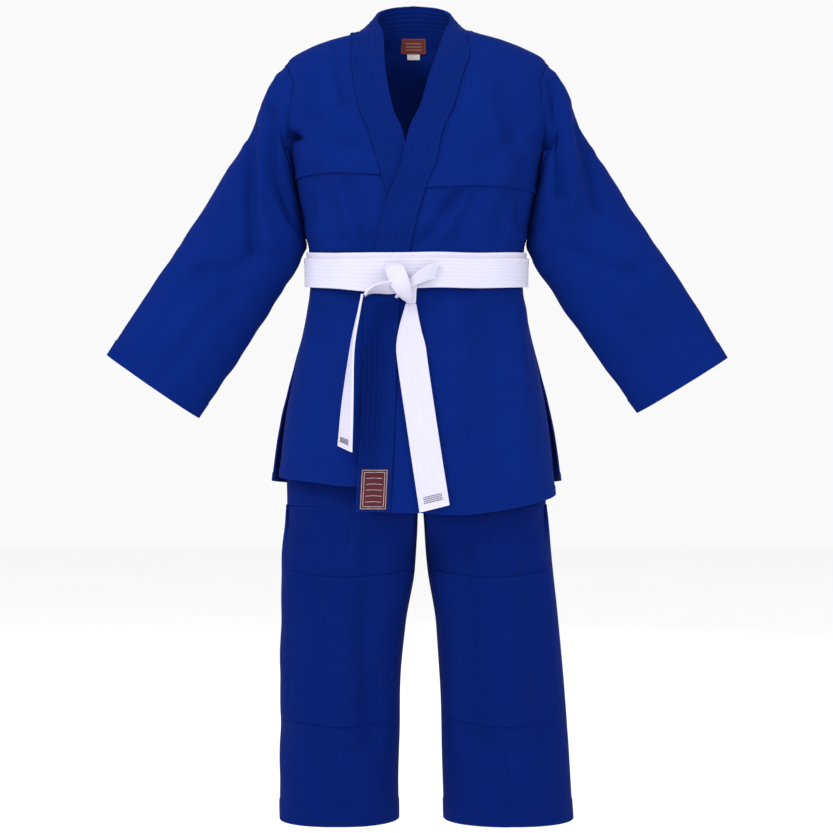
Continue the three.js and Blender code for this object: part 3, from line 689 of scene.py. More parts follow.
def jacket_panel(edge_a, edge_b, top, bottom, lift, rows, cols, hem=0.0, lap=0.0, side_hem=0.0):
    """Panel of the jacket between two side edges and two end lines; returns its grids."""
    v = spread(rows, (1, 0.03, 13), (0, 0.02, 7))
    u = spread(cols, (1, 0.03, 9), (0, 0.02, 5))
    uu, vv = np.meshgrid(u, v)
    z = mix(top(uu), bottom(uu), vv)
    angle = mix(edge_a(z), edge_b(z), uu)
    base, normal = jacket.at(angle, z), jacket.normal(angle, z)
    stand = lift(base[..., 0], z)
    shift = jacket_shift(base, normal, angle, z)
    from_end = np.abs(z - bottom(uu))
    relief = swell(from_end, 11, hem) + swell(from_end, 7, lap)
    width = np.linalg.norm(base[:, 0] - base[:, -1], axis=-1)[:, None]
    relief = relief + swell((1 - uu) * width, 9, side_hem)
    outer = base + normal * (stand + CLOTH + relief)[..., None] + shift
    inner = base + normal * stand[..., None] + shift
    return outer, inner


def hem_stitches(outer, inner, distance):
    """Row of stitches a distance above the lower edge of a panel."""
    down = np.linalg.norm(np.diff(outer, axis=0), axis=-1)
    run = np.concatenate([np.zeros((1, outer.shape[1])), np.cumsum(down, axis=0)])
    path, ups = [], []
    normal = unit(outer - inner)
    for j in range(outer.shape[1]):
        target = run[-1, j] - distance
        path.append([np.interp(target, run[:, j], outer[:, j, k]) for k in range(3)])
        ups.append([np.interp(target, run[:, j], normal[:, j, k]) for k in range(3)])
    return np.array(path), np.array(ups)


def side_stitches(outer, inner, distance, last=True):
    """Row of stitches a distance inside one side edge of a panel."""
    grid, low = (outer[:, ::-1], inner[:, ::-1]) if last else (outer, inner)
    normal = unit(grid - low)
    across = np.linalg.norm(np.diff(grid, axis=1), axis=-1)
    run = np.concatenate([np.zeros((grid.shape[0], 1)), np.cumsum(across, axis=1)], axis=1)
    path = [[np.interp(distance, run[i], grid[i, :, k]) for k in range(3)] for i in range(grid.shape[0])]
    ups = [[np.interp(distance, run[i], normal[i, :, k]) for k in range(3)] for i in range(grid.shape[0])]
    return np.array(path), np.array(ups)


def riding(body):
    """Places pieces on one body."""
    return lambda *objects: [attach(obj, body) for obj in objects]


def bending():
    """Pieces that run across a joint: bakes their placement into their meshes, on no body."""
    return lambda *objects: [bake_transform(obj) for obj in objects]


def sew(piece, rows, material, place, **size):
    """Stitch rows on to a piece, and place both."""
    place(piece, stitches(piece.name + "_thread", rows, material, **size))


def round_row(outer, up, i):
    """Path and normals once round a closed piece, along one row of its grid."""
    loop = [*range(outer.shape[1]), 0]
    return outer[i, loop], up[i, loop]


# The jacket's panels run on into the skirts below the knot's lower edge, baked in place.
crossing = bending()
crossing_back = bending()


def level(value):
    return lambda u: value + 0 * u


def front_top(u):
    return RIDGE_Z + 3 + 0 * u


def degrees(rows):
    at = curve(rows)
    return lambda angle: at(np.degrees(angle))


OVER_FOOT, UNDER_FOOT, BACK_FOOT = degrees(OVER_HEM), degrees(UNDER_HEM), degrees(BACK_HEM)
SIDES = [(LEFT, "left", climb), (RIGHT, "right", flat_lift)]


def band_seam(side):
    return lambda z: jacket.angle_at_x(edge_of[side](z) + side * (BAND_WIDTH + SEAM_GAP), z)


def make_fronts():
    for side, word, lift in SIDES:
        seam, hem = band_seam(side), YOKE_HEM_Z[word]
        outer, inner = jacket_panel(
            seam, front_side(side), front_top,
            lambda u, hem=hem: hem - 4 + 5 * np.sin(math.pi * u),
            lambda x, z, lift=lift, hem=hem: lift(x, z) + 2.1 * smooth((hem + 34 - z) / 18),
            72, 60, lap=0.7)
        yoke = cloth_solid(f"look_yoke_front_{word}", outer, inner, JACKET)
        declare(outer, nodes=[f"yoke_front_{word}"])
        rows = [hem_stitches(outer, inner, 4.0), hem_stitches(outer, inner, 9.5),
                side_stitches(outer, inner, 4.5), side_stitches(outer, inner, 4.0, last=False)]
        sew(yoke, rows, BLUE_THREAD, riding("jacket"))

        foot = OVER_FOOT if side == LEFT else UNDER_FOOT
        far = vent_edge(side)
        end = lambda u, seam=seam, far=far, foot=foot: foot(mix(seam(-600.0), far(-600.0), u))
        outer, inner = jacket_panel(
            seam, far, level(hem + 9), end, lift, 150, 58, hem=0.8, side_hem=0.4)
        front = cloth_solid(f"look_front_{word}", outer, inner, JACKET)
        declare(outer,
                nodes=[f"front_{word}", f"skirt_front_{word}"])
        rows = [hem_stitches(outer, inner, 9.5), side_stitches(outer, inner, 7.0),
                side_stitches(outer, inner, 4.0, last=False)]
        sew(front, rows, BLUE_THREAD, crossing)


def make_back():
    def nape(u):
        return mix(RIDGE_Z + 3, 23.8, np.sin(math.pi * np.clip(u, 0, 1)) ** 0.4)
    left = back_side(LEFT)
    hem = YOKE_HEM_Z["back"]
    outer, inner = jacket_panel(
        left, lambda z: 2 * math.pi - left(z), nape, level(hem - 4),
        lambda x, z: 2.1 * smooth((hem + 34 - z) / 18) + 0 * x, 80, 120, lap=0.7)
    yoke = cloth_solid("look_yoke_back", outer, inner, JACKET)
    declare(outer, nodes=["yoke_back"])
    rows = [hem_stitches(outer, inner, 4.0), hem_stitches(outer, inner, 9.5),
            side_stitches(outer, inner, 4.5), side_stitches(outer, inner, 4.5, last=False)]
    sew(yoke, rows, BLUE_THREAD, riding("jacket"))
    for side, word, _ in SIDES:
        middle = lambda z, side=side: side * (math.pi - 0.0010) + 0 * z
        far = back_side(side)
        foot = lambda u, side=side: BACK_FOOT(np.abs(mix(side * math.pi, side * math.pi / 2, u)))
        outer, inner = jacket_panel(
            middle, far, level(hem + 9), foot, flare, 140, 64, hem=0.8, side_hem=0.4)
        back = cloth_solid(f"look_back_{word}", outer, inner, JACKET)
        declare(outer,
                nodes=[f"back_{word}", f"skirt_back_{word}"])
        rows = [hem_stitches(outer, inner, 9.5), side_stitches(outer, inner, 7.0),
                side_stitches(outer, inner, 2.4, last=False), side_stitches(outer, inner, 7.5, last=False)]
        sew(back, rows, BLUE_THREAD, crossing_back)


# ---------- collar and lapel band ----------
def spline(points, t):
    """Centripetal spline through points, at fractions t of its length in points; place and direction."""
    p = np.asarray(points, float)
    p = np.concatenate([[2 * p[0] - p[1]], p, [2 * p[-1] - p[-2]]])
    s = np.clip(t, 0, 1) * (len(p) - 3)
    i = np.clip(np.floor(s).astype(int), 0, len(p) - 4)
    w = (s - i)[:, None]
    a, b, c, d = p[i], p[i + 1], p[i + 2], p[i + 3]
    step = lambda m, n: np.sqrt(np.linalg.norm(n - m, axis=1, keepdims=True))
    ab, bc, cd = step(a, b), step(b, c), step(c, d)
    bc = np.where(bc < 1e-4, 1.0, bc)
    ab, cd = np.where(ab < 1e-4, bc, ab), np.where(cd < 1e-4, bc, cd)
    start = ((b - a) / ab - (c - a) / (ab + bc) + (c - b) / bc) * bc
    stop = ((c - b) / bc - (d - b) / (bc + cd) + (d - c) / cd) * bc
    k2 = -3 * b + 3 * c - 2 * start - stop
    k3 = 2 * b - 2 * c + start + stop
    return b + start * w + k2 * w ** 2 + k3 * w ** 3, start + 2 * k2 * w + 3 * k3 * w ** 2


QUILT_ROWS = [4.5, 11.5, 18.5, 25.5, 32.5, 39.5]      # stitch lines across the band
TUCKS = [(-423, 1.1), (-460, 0.9), (-482, 1.0), (-512, 0.9), (-540, 1.0), (-568, 0.8)]


def make_band(side, word, foot, lift):
    edge = edge_of[side]
    width = side * BAND_WIDTH
    across = spread(70, (0, 0.04, 7), (1, 0.04, 7))
    heights = np.concatenate([np.linspace(foot, -60, 220), np.linspace(-57, BAND_TURN_Z, 8)])
    zz, tt = np.meshgrid(heights, across, indexing="ij")
    angle = jacket.angle_at_x(edge(zz) + width * tt, zz)
    base, normal = jacket.at(angle, zz), jacket.normal(angle, zz)
    stand = lift(base[..., 0], zz)
    fade = smooth((BAND_TURN_Z - 4 - zz) / 40)[..., None]
    back = base + normal * stand[..., None] + jacket_shift(base, normal, angle, zz) * fade
    start = jacket.angle_at_x(edge(BAND_TURN_Z) + width * across, BAND_TURN_Z)
    first = jacket.at(start, BAND_TURN_Z) + (jacket.normal(start, BAND_TURN_Z)
                                             * lift(edge(BAND_TURN_Z) + width * across, BAND_TURN_Z)[:, None])
    steps = np.linspace(0, 1, 96)[1:]
    place = lambda rows: [np.array([NECK_X + side * (x if x > 1 else -0.8), y, z]) for x, y, z in rows]
    top, direction = spline([first[0], *place(COLLAR_TOP)], steps)
    low, _ = spline([first[-1], *place(COLLAR_SEAM if side == LEFT else UNDER_COLLAR_SEAM)], steps)
    outward = unit(np.cross(low - top, direction)) * side
    turn = smooth(steps * 8 / 3)[:, None]
    stand_off = mix(normal[-1, 0][None], outward, turn)
    low = low + (low - top) * 0.13 * smooth((steps - 0.5) / 0.3)[:, None]
    collar = mix(top[:, None], low[:, None], across[None, :, None])
    collar_normal = np.repeat(stand_off[:, None], len(across), axis=1)
    grid_back = np.concatenate([back, collar])
    grid_normal = np.concatenate([normal, collar_normal])
    run = np.concatenate([[0], np.cumsum(np.linalg.norm(np.diff(grid_back[:, 35], axis=0), axis=1))])
    d = across * BAND_WIDTH
    groove = sum(np.exp(-((d - row) / 1.3) ** 2) for row in QUILT_ROWS)
    edge_fall = 1.6 * (1 - np.sqrt(1 - np.clip(1 - np.minimum(d, BAND_WIDTH - d) / 2.4, 0, 1) ** 2))
    puff = 0.28 * ripple(run[:, None] * 1.0, d[None], 11 + side, shortest=9, longest=26)
    tuck = sum(h * np.exp(-((grid_back[..., 2] - z0 - 0.12 * d[None]) / 3.0) ** 2) for z0, h in TUCKS)
    on_chest = (grid_back[..., 2] < -380)
    face = BAND - 0.75 * groove[None] - edge_fall[None] + puff - 0.8 * tuck * on_chest
    back_relief = (0.6 * groove + 0.8 * edge_fall)[None] * smooth((run[:, None] - run[227]) / 40)
    outer = grid_back + grid_normal * face[..., None]
    inner = grid_back + grid_normal * back_relief[..., None]
    uv = np.stack(np.meshgrid(d + 300 * side, run), axis=-1)
    band = cloth_solid(f"look_lapel_{word}", outer, inner, LAPEL, uv=uv)
    declare(outer,
            nodes=[f"lapel_{word}", f"lapel_skirt_{word}"])
    normals = unit(outer - inner)
    rows = []
    for row in QUILT_ROWS:
        j = int(np.argmin(np.abs(d - row)))
        rows.append((outer[2:-1, j], normals[2:-1, j]))
        rows.append((inner[232:-1, j], -normals[232:-1, j]))
    sew(band, rows, BLUE_THREAD, crossing, pitch=4.0, length=2.9, width=0.8)


# ---------- patch, neck label and tab ----------
def patch_grid(u, v, extra):
    z = -598 - PATCH[1] * v
    x = edge_of[LEFT](z) + (BAND_WIDTH - PATCH[0]) / 2 + PATCH[0] * u
    angle = jacket.angle_at_x(x, z)
    base, normal = jacket.at(angle, z), jacket.normal(angle, z)
    return base + normal * (CLIMB + BAND + 0.15 + extra)[..., None] + jacket_shift(base, normal, angle, z)


def make_patch():
    u, v = np.linspace(0, 1, 60), np.linspace(0, 1, 90)
    uu, vv = np.meshgrid(u, v)
    near = np.minimum(np.minimum(uu, 1 - uu) * PATCH[0], np.minimum(vv, 1 - vv) * PATCH[1])
    border = 0.35 * np.exp(-((near - 1.4) / 0.8) ** 2)
    outer = patch_grid(uu, vv, 1.0 + border - 0.5 * (1 - smooth(near / 0.8)))
    inner = patch_grid(uu, vv, 0 * uu)
    patch = cloth_solid("look_lapel_patch", outer, inner, MAROON)
    declare(outer, nodes=["lapel_patch"])
    spot = lambda a, b: patch_grid(np.asarray(a, float), np.asarray(b, float), np.full(np.shape(a), 1.25))
    rows = []
    for gap in (1.4, 4.2):
        a, b = gap / PATCH[0], gap / PATCH[1]
        ring_u = np.concatenate([np.linspace(a, 1 - a, 30), np.full(30, 1 - a),
                                 np.linspace(1 - a, a, 30), np.full(30, a)])
        ring_v = np.concatenate([np.full(30, b), np.linspace(b, 1 - b, 30),
                                 np.full(30, 1 - b), np.linspace(1 - b, b, 30)])
        rows.append((spot(ring_u, ring_v), np.tile([0.0, -1, 0], (120, 1))))
    for k in range(1, 6):
        t = np.linspace(0.2, 0.8, 20)
        rows.append((spot(t, 0.14 + 0.145 * k - 0.07 + 0.05 * np.abs(t - 0.5)), np.tile([0.0, -1, 0], (20, 1))))
    sew(patch, rows, ROSE_THREAD, riding("front_skirt"), pitch=1.5, length=1.4, width=1.3, rise=0.5)


def make_labels():
    def inside(name, node, size, top, material):
        u, v = np.meshgrid(np.linspace(0, 1, 40), np.linspace(0, 1, 30))
        z = top - size[1] * v
        angle = math.pi + (size[0] * (0.5 - u) - NECK_X) / 60
        base, normal = jacket.at(angle, z), jacket.normal(angle, z)
        near = np.minimum(np.minimum(u, 1 - u) * size[0], np.minimum(v, 1 - v) * size[1])
        fold = 0.15 * np.exp(-((near - 1.0) / 0.6) ** 2)
        face = base - normal * (0.5 + 0.8 + fold)[..., None]
        behind = base - normal * 0.5
        label = cloth_solid(name, face, behind, material)
        declare(face, nodes=[node])
        edge = np.concatenate([face[1, 2:-2], face[2:-2, -2], face[-2, 2:-2][::-1], face[2:-2, 1][::-1]])
        rows = [(edge, np.tile([0.0, -1, 0.2], (len(edge), 1)))]
        for i in (9, 15, 21):
            rows.append((face[i, 7:-7], np.tile([0.0, -1, 0.2], (face.shape[1] - 14, 1))))
        sew(label, rows[:1], PALE_THREAD, riding("jacket"), pitch=2.2, length=1.5, width=0.4, rise=0.2)
        if size[1] > 10:
            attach(stitches(name + "_marks", rows[1:], ROSE_THREAD, pitch=1.6, length=1.5, width=1.5, rise=0.4),
                    "jacket")
    inside("look_neck_label", "neck_label", NECK_LABEL, 15, RUST)
    inside("look_size_tab", "size_tab", SIZE_TAB, 15 - NECK_LABEL[1] - 0.5, PALE)


# ---------- sleeves ----------
SLEEVE_CREASES = {
    RIGHT: [([(-229, -127), (-229, -231), (-225, -298)], -7, 9),
            ([(-201, -112), (-196, -186), (-170, -253)], -7, 9),
            ([(-186, -60), (-206, -96)], 4, 10), ([(-250, -190), (-262, -230)], 4, 14),
            ([(-214, -150), (-212, -240), (-200, -290)], 4, 9),
            ([(-222, -310), (-262, -330), (-300, -330)], -4, 12),
            ([(-250, -350), (-300, -410), (-350, -470)], -3, 14),
            ([(-300, -330), (-350, -400), (-400, -460)], -3, 16)],
    LEFT: [([(185, -67), (191, -157), (196, -224)], -7, 9), ([(225, -123), (237, -186), (250, -240)], -7, 9),
           ([(205, -110), (214, -180), (214, -250)], 4, 9), ([(186, -56), (206, -90)], 4, 10),
           ([(214, -300), (262, -326), (300, -326)], -4, 12), ([(250, -350), (300, -410), (350, -470)], -3, 14),
           ([(300, -330), (352, -398), (402, -456)], -3, 16)],
}


def sleeve_middle(side, sections):
    column = lambda c: curve([(i, row[c]) for i, row in enumerate(sections)])
    outer_x, outer_z, inner_x, inner_z, depth = (column(c) for c in range(5))
    mid_z = SHOULDER_TIP_Z - ARMHOLE_HEIGHT / 2

    def at(phi, k):
        z = mid_z + ARMHOLE_HEIGHT / 2 * np.cos(phi)
        y = ARMHOLE_DEPTH / 2 * np.sin(phi)
        root_angle = side * jacket.angle_at_depth(y, z)
        root = jacket.at(root_angle, z)
        root[..., 0] += side * 0.4
        a = np.stack([outer_x(k), 0 * k, outer_z(k)], axis=-1)
        b = np.stack([inner_x(k), 0 * k, inner_z(k)], axis=-1)
        ring = (a + b) / 2 + (a - b) / 2 * np.cos(phi)[..., None]
        ring[..., 1] += depth(k) * np.sin(phi)
        share = smooth(k / 0.6)[..., None]
        first = sections[0]
        flat = np.stack([np.full(phi.shape, float(first[0])), y, z], axis=-1)
        return ring + (root - flat) * (1 - share), root_angle, z
    return at


def make_sleeve(side, word):
    sections = SLEEVE_SECTIONS[side]
    at = sleeve_middle(side, sections)
    last = len(sections) - 1
    rings = np.array(sorted(set(np.round(np.concatenate([
        np.linspace(0, 0.35, 18), np.linspace(0.35, last - 0.25, 108), np.linspace(last - 0.25, last, 22)]), 5))))
    phi = np.linspace(0, 2 * math.pi, 132, endpoint=False)
    kk, pp = np.meshgrid(rings, phi, indexing="ij")
    points, root_angle, root_z = at(pp, kk)
    coarse_k, coarse_p = np.linspace(0, last, 64), np.linspace(0, 2 * math.pi, 72, endpoint=False)
    ck, cp = np.meshgrid(coarse_k, coarse_p, indexing="ij")
    rest, _, _ = at(cp, ck)
    hold = 0.6 + 0.4 * np.maximum(1 - smooth((ck - 0.1) / 0.6), smooth((ck - last + 0.35) / 0.3))
    moved = drape(rest, hold, limit=6.0)
    field = Field(coarse_k, coarse_p, moved, 2 * math.pi)
    out = unit(points - np.mean(points, axis=1, keepdims=True))
    normal = grid_normals(points, closed=True)
    normal *= np.sign(np.sum(normal * out, axis=-1, keepdims=True))
    x, z = points[..., 0], points[..., 2]
    front, back = front_and_back(points[..., 1])
    creases = SLEEVE_CREASES[side]
    folds = 1.5 * sum(crease(x, z, pts, d, w) for pts, d, w in creases) * front
    folds = folds + sum(crease(x + side * 6, z + 10, pts, d * 0.8, w * 1.3) for pts, d, w in creases) * back
    folds = folds + 1.6 * ripple(pp * 60, kk * 85, 21 + side, shortest=24, longest=90)
    free = smooth((kk - 0.04) / 0.5) * (1 - 0.6 * smooth((kk - last + 0.5) / 0.5))
    root = jacket.at(root_angle, root_z)
    root_normal = jacket.normal(root_angle, root_z)
    root_shift = jacket_shift(root, root_normal, root_angle, root_z) * (1 - smooth(kk / 0.5))[..., None]
    shift = normal * (folds * free)[..., None] + field(kk, pp) * free[..., None] + root_shift
    inner_side = smooth((-np.cos(pp) - 0.55) / 0.35) * smooth((z + 345) / 25) * smooth((-150 - z) / 20)
    shift = shift * (1 - 0.8 * inner_side)[..., None]
    closer = np.interp(z, [-306, -300, -292, -285, -278, -262, -205, -172, -157, -150],
                       [0, 2.5, 7.0, 8.0, 6.8, 5.8, 3.8, 4.2, 1.8, 0])
    shift[..., 0] -= side * closer * smooth((-np.cos(pp) - 0.2) / 0.6)
    run = np.cumsum(np.concatenate([[0], np.linalg.norm(np.diff(points[:, 0], axis=0), axis=1)]))
    from_cuff = (run[-1] - run)[:, None]
    seam = 0.7 * np.exp(-((run[:, None] - 3.0) / 2.2) ** 2)
    under = 0.5 * np.exp(-((pp - math.pi) * 52 / 1.6) ** 2)
    root_rise = 2.3 * (1 - smooth(kk / 0.6))
    relief = swell(from_cuff, 24, 0.9) + seam - under * smooth((kk - 0.3) / 0.2) + root_rise
    outer = points + shift + normal * relief[..., None]
    inner = points + shift - normal * CLOTH
    around = pp * 58
    uv = np.stack([around + 500 * side, np.broadcast_to(run[:, None], pp.shape)], axis=-1)
    sleeve = cloth_solid(f"look_sleeve_{word}", outer, inner, JACKET, closed=True, uv=uv)
    declare(points,
            nodes=[f"sleeve_{word}"])
    up = unit(outer - inner)
    seam_row = int(np.argmin(np.abs(run - 8.5)))
    cuff_rows = [int(np.argmin(np.abs(run[-1] - run - distance))) for distance in (9.5, 24.0)]
    rows = [round_row(outer, up, i) for i in (*cuff_rows, seam_row)]
    rows.append((outer[seam_row:, 63], up[seam_row:, 63]))
    sew(sleeve, rows, BLUE_THREAD, bending())


# ---------- belt ----------
BELT_EASE = 0.6
BELT_RISE = BAND + CLIMB - CLOTH
BELT_ROWS = np.linspace(-0.5, 0.5, 9)[1:-1]
BELT_STITCH = {"pitch": 3.2, "length": 2.3, "width": 0.5, "rise": 0.22}


def belt_lift(x):
    ramp = smooth(np.where(x < 0, (x + 122) / 48, (92 - x) / 84))
    return CLOTH + LAYER_GAP + BELT_EASE + BELT_RISE * ramp


def belt_section(across, thickness):
    """Height of the face of the belt across its width (-0.5 to 0.5): stitched channels, rounded edges."""
    groove = sum(np.exp(-((across - row) * BELT_WIDTH / 0.8) ** 2) for row in BELT_ROWS)
    edge = np.clip(1 - (0.5 - np.abs(across)) * BELT_WIDTH / 1.6, 0, 1)
    return thickness - 0.24 * groove - 0.9 * (1 - np.sqrt(1 - edge ** 2))


def make_wrap(name, node, standoff, shift_z):
    across = spread(66, (0, 0.04, 6), (1, 0.04, 6)) - 0.5
    angle = np.linspace(-math.pi, math.pi, 320, endpoint=False)
    tt, aa = np.meshgrid(across, angle, indexing="ij")
    at = jacket.at(aa, BELT_MID_Z)
    wander = 1.1 * ripple(aa * 150, 0 * aa, 31, shortest=90, longest=400)
    droop = 5 * np.exp(-((at[..., 0] + 48) / 34) ** 2) * (at[..., 1] < 0) * (0.5 + tt)
    z = BELT_MID_Z + BELT_TILT * at[..., 1] + shift_z - BELT_WIDTH * tt + wander - droop
    bulge = np.where(np.abs(aa) < math.pi / 2, belt_lift(at[..., 0]), belt_lift(np.array(200.0)))
    on_body = jacket.at(aa, z)
    outward = on_body.copy()
    outward[..., 2] = 0
    outward = unit(outward)
    base = on_body + outward * (bulge + standoff)[..., None]
    outer = base + outward * belt_section(tt, BELT)[..., None]
    inner = base + outward * (BELT - belt_section(tt, BELT))[..., None]
    uv = np.stack([aa * 145, tt * BELT_WIDTH], axis=-1)
    wrap = cloth_solid(name, outer, inner, COTTON, closed=True, uv=uv)
    declare(base, nodes=[node])
    rows = [round_row(outer, outward, int(np.argmin(np.abs(across - row)))) for row in BELT_ROWS]
    sew(wrap, rows, PALE_THREAD, riding("jacket"), **BELT_STITCH)


def ribbon(centres, halves, thickness, count=90, wide=30, puff=0.0, seed=1):
    """Belt strand through centres with half-width vectors: stitched across, softly folded, as grids."""
    t = np.linspace(0, 1, count)
    centre, along_it = spline([np.array(c, float) for c in centres], t)
    half, _ = spline([np.array(h, float) for h in halves], t)
    across = np.linspace(-0.5, 0.5, wide)
    normal = unit(np.cross(along_it, half))
    grid = centre[:, None] + half[:, None] * (2 * across)[None, :, None]
    bow = puff * (1 - (2 * across) ** 2)
    wave = 0.5 * ripple(t[:, None] * 120, across[None] * 30, seed, shortest=16, longest=60)
    profile = belt_section(across, thickness)[None] + bow[None] + wave
    low = (thickness - belt_section(across, thickness))[None] - 0.25 * bow[None] + wave
    mid = thickness / 2
    outer = grid + normal[:, None] * (profile - mid)[..., None]
    inner = grid + normal[:, None] * (low - mid)[..., None]
    return outer, inner, grid


def bar_tack(name, outer, inner, body):
    """Small plain block of dark stitches near the end of a belt tail."""
    rows = []
    up = unit(outer - inner)
    for row in range(4):
        i = outer.shape[0] - 5 - row
        rows.append((outer[i, 8:36], up[i, 8:36]))
    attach(stitches(name, rows, MARK_THREAD, pitch=1.9, length=2.1, width=1.9, rise=0.75), body)


def make_strand(name, centres, halves, body, thickness=BELT, nodes=(), puff=0.0, seed=1, held="folded", count=90):
    outer, inner, grid = ribbon(centres, halves, thickness, puff=puff, seed=seed, count=count, wide=44)
    strand = cloth_solid(name, outer, inner, COTTON)
    declare(grid, nodes=nodes)
    up = unit(outer - inner)
    rows = []
    for row in BELT_ROWS[::2] if np.linalg.norm(halves[0]) < 10 else BELT_ROWS:
        j = int(round((row + 0.5) * 43))
        rows.append((outer[2:-2, j], up[2:-2, j]))
        rows.append((inner[2:-2, j], -up[2:-2, j]))
    sew(strand, rows, PALE_THREAD, riding(body), **BELT_STITCH)
    if held == "hung":
        bar_tack(name + "_tack", outer, inner, body)


def make_knot():
    y = -(92 + float(belt_lift(np.array(-20.0))) + 2 * BELT + LAYER_GAP + 0.5)
    make_strand("look_knot_under",
                [(26, y - 1, -333), (12, y - 8, -337), (-4, y - 11, -346), (-18, y - 9, -357), (-24, y - 4, -363)],
                [(3, 0, 11), (4, 0, 12), (5, 0, 11), (5, 0, 8), (4, 1, 6)], "jacket", puff=3.0, seed=41)
    make_strand("look_belt_knot",
                [(-33, y - 1, -326), (-29, y - 11, -332), (-24, y - 17, -345), (-18, y - 17, -357),
                 (-12, y - 10, -367.5), (-9, y - 4, -370)],
                [(10, 0, 3), (12, -1, 5), (12, -2, 6), (10, -1, 6), (7, 0, 4), (5, 0, 3)], "jacket",
                nodes=["belt_knot"], puff=3.5, seed=42)
    make_strand("look_knot_left_neck",
                [(-26, y - 8, -355), (-42, y - 12, -356), (-56, -127, -358), (-64, -128.5, -361.5),
                 (-68.5, -129, -366.5)],
                [(0, -7, 8), (0, -11, 7), (1, -14, 4), (1, -15, 2), (0.5, -15, 0)], "jacket", puff=0.8, seed=43)
    make_strand("look_knot_right_neck",
                [(-8, y - 6, -350), (-8, y - 5, -360), (-7.5, y - 1, -370), (-7.5, y + 1.8, -375.2)],
                [(9, 0, 0), (8, 0, 0), (7, 0, 0), (6.5, 0, 0)], "jacket", puff=1.2, seed=44)


def make_tails():
    front = curve(JACKET_SECTIONS, 2)
    rest = lambda z: -(float(front(z)) + CLIMB + BAND + 0.5 + BELT / 2)
    x0, y0 = -82.7, -129
    make_strand("look_belt_tail_left",
                [(-71.9, y0, -366), (-75.5, y0, -384), (x0 - 1.5, y0 - 1, -430), (x0 - 8, y0 - 2, -500),
                 (x0 - 12, y0 - 4, -570)],
                [(0.5, -15, 0), (1, -15.5, 0), (2.5, -17, 0), (7, -18, 0), (10, -17, -4)],
                "tail_left", nodes=["belt_tail_left"], seed=45, held="hung", count=150)
    make_strand("look_belt_tail_right",
                [(-7.5, rest(-378) - 0.6, -376.4)]
                + [(x, rest(z), z) for x, z in ((-9, -410), (-7, -440), (8, -545), (24, -650))],
                [(7, 0, 0), (15, 0, 1), (20, 0, 2), (20, 0, 3), (20, 0, 5)],
                "tail_right", nodes=["belt_tail_right"], seed=46, held="hung", count=170)


# ---------- trousers ----------
def trouser_ripple(angle, z, seed):
    return 1.6 * ripple(angle * 75, z * 0.6, seed, shortest=34, longest=110)


def make_seat():
    waist_end = WAIST_TOP_Z - WAISTBAND
    for side, word, _ in SIDES:
        v, u = spread(90), spread(90)
        uu, vv = np.meshgrid(u, v)
        z = mix(waist_end - 0.4, CROTCH_Z + 0.2, vv)
        angle = side * mix(0.0030, math.pi - 0.0030, uu)
        base, normal = seat.at(angle, z), seat.normal(angle, z)
        base[..., 0] *= 1 + (179.0 / seat.half(z) - 1) * smooth((-585 - z) / 30)
        gather = 1.1 * np.cos(angle * 58) * (1 - smooth((waist_end - z) / 70))
        fold = trouser_ripple(angle, z, 51) * smooth((waist_end - z) / 60)
        quiet = smooth((z - CROTCH_Z - 2) / 30)
        shift = normal * ((gather + fold) * quiet)[..., None]
        seam = 0.5 * np.exp(-(np.minimum(uu, 1 - uu) * 360 / 3) ** 2)
        outer = base + normal * (CLOTH + seam)[..., None] + shift
        inner = base + shift
        piece = cloth_solid(f"look_trouser_seat_{word}", outer, inner, TROUSER)
        declare(base, nodes=[f"trouser_seat_{word}"])
        rows = [side_stitches(outer, inner, 5.0), side_stitches(outer, inner, 5.0, last=False)]
        sew(piece, rows, DARK_THREAD, riding("trousers"))


CHANNEL_ROWS = (0.1, 0.37, 0.63, 0.9)     # stitch lines across the waistband
EYELET_X, EYELET_Z = 20, WAIST_TOP_Z - WAISTBAND / 2


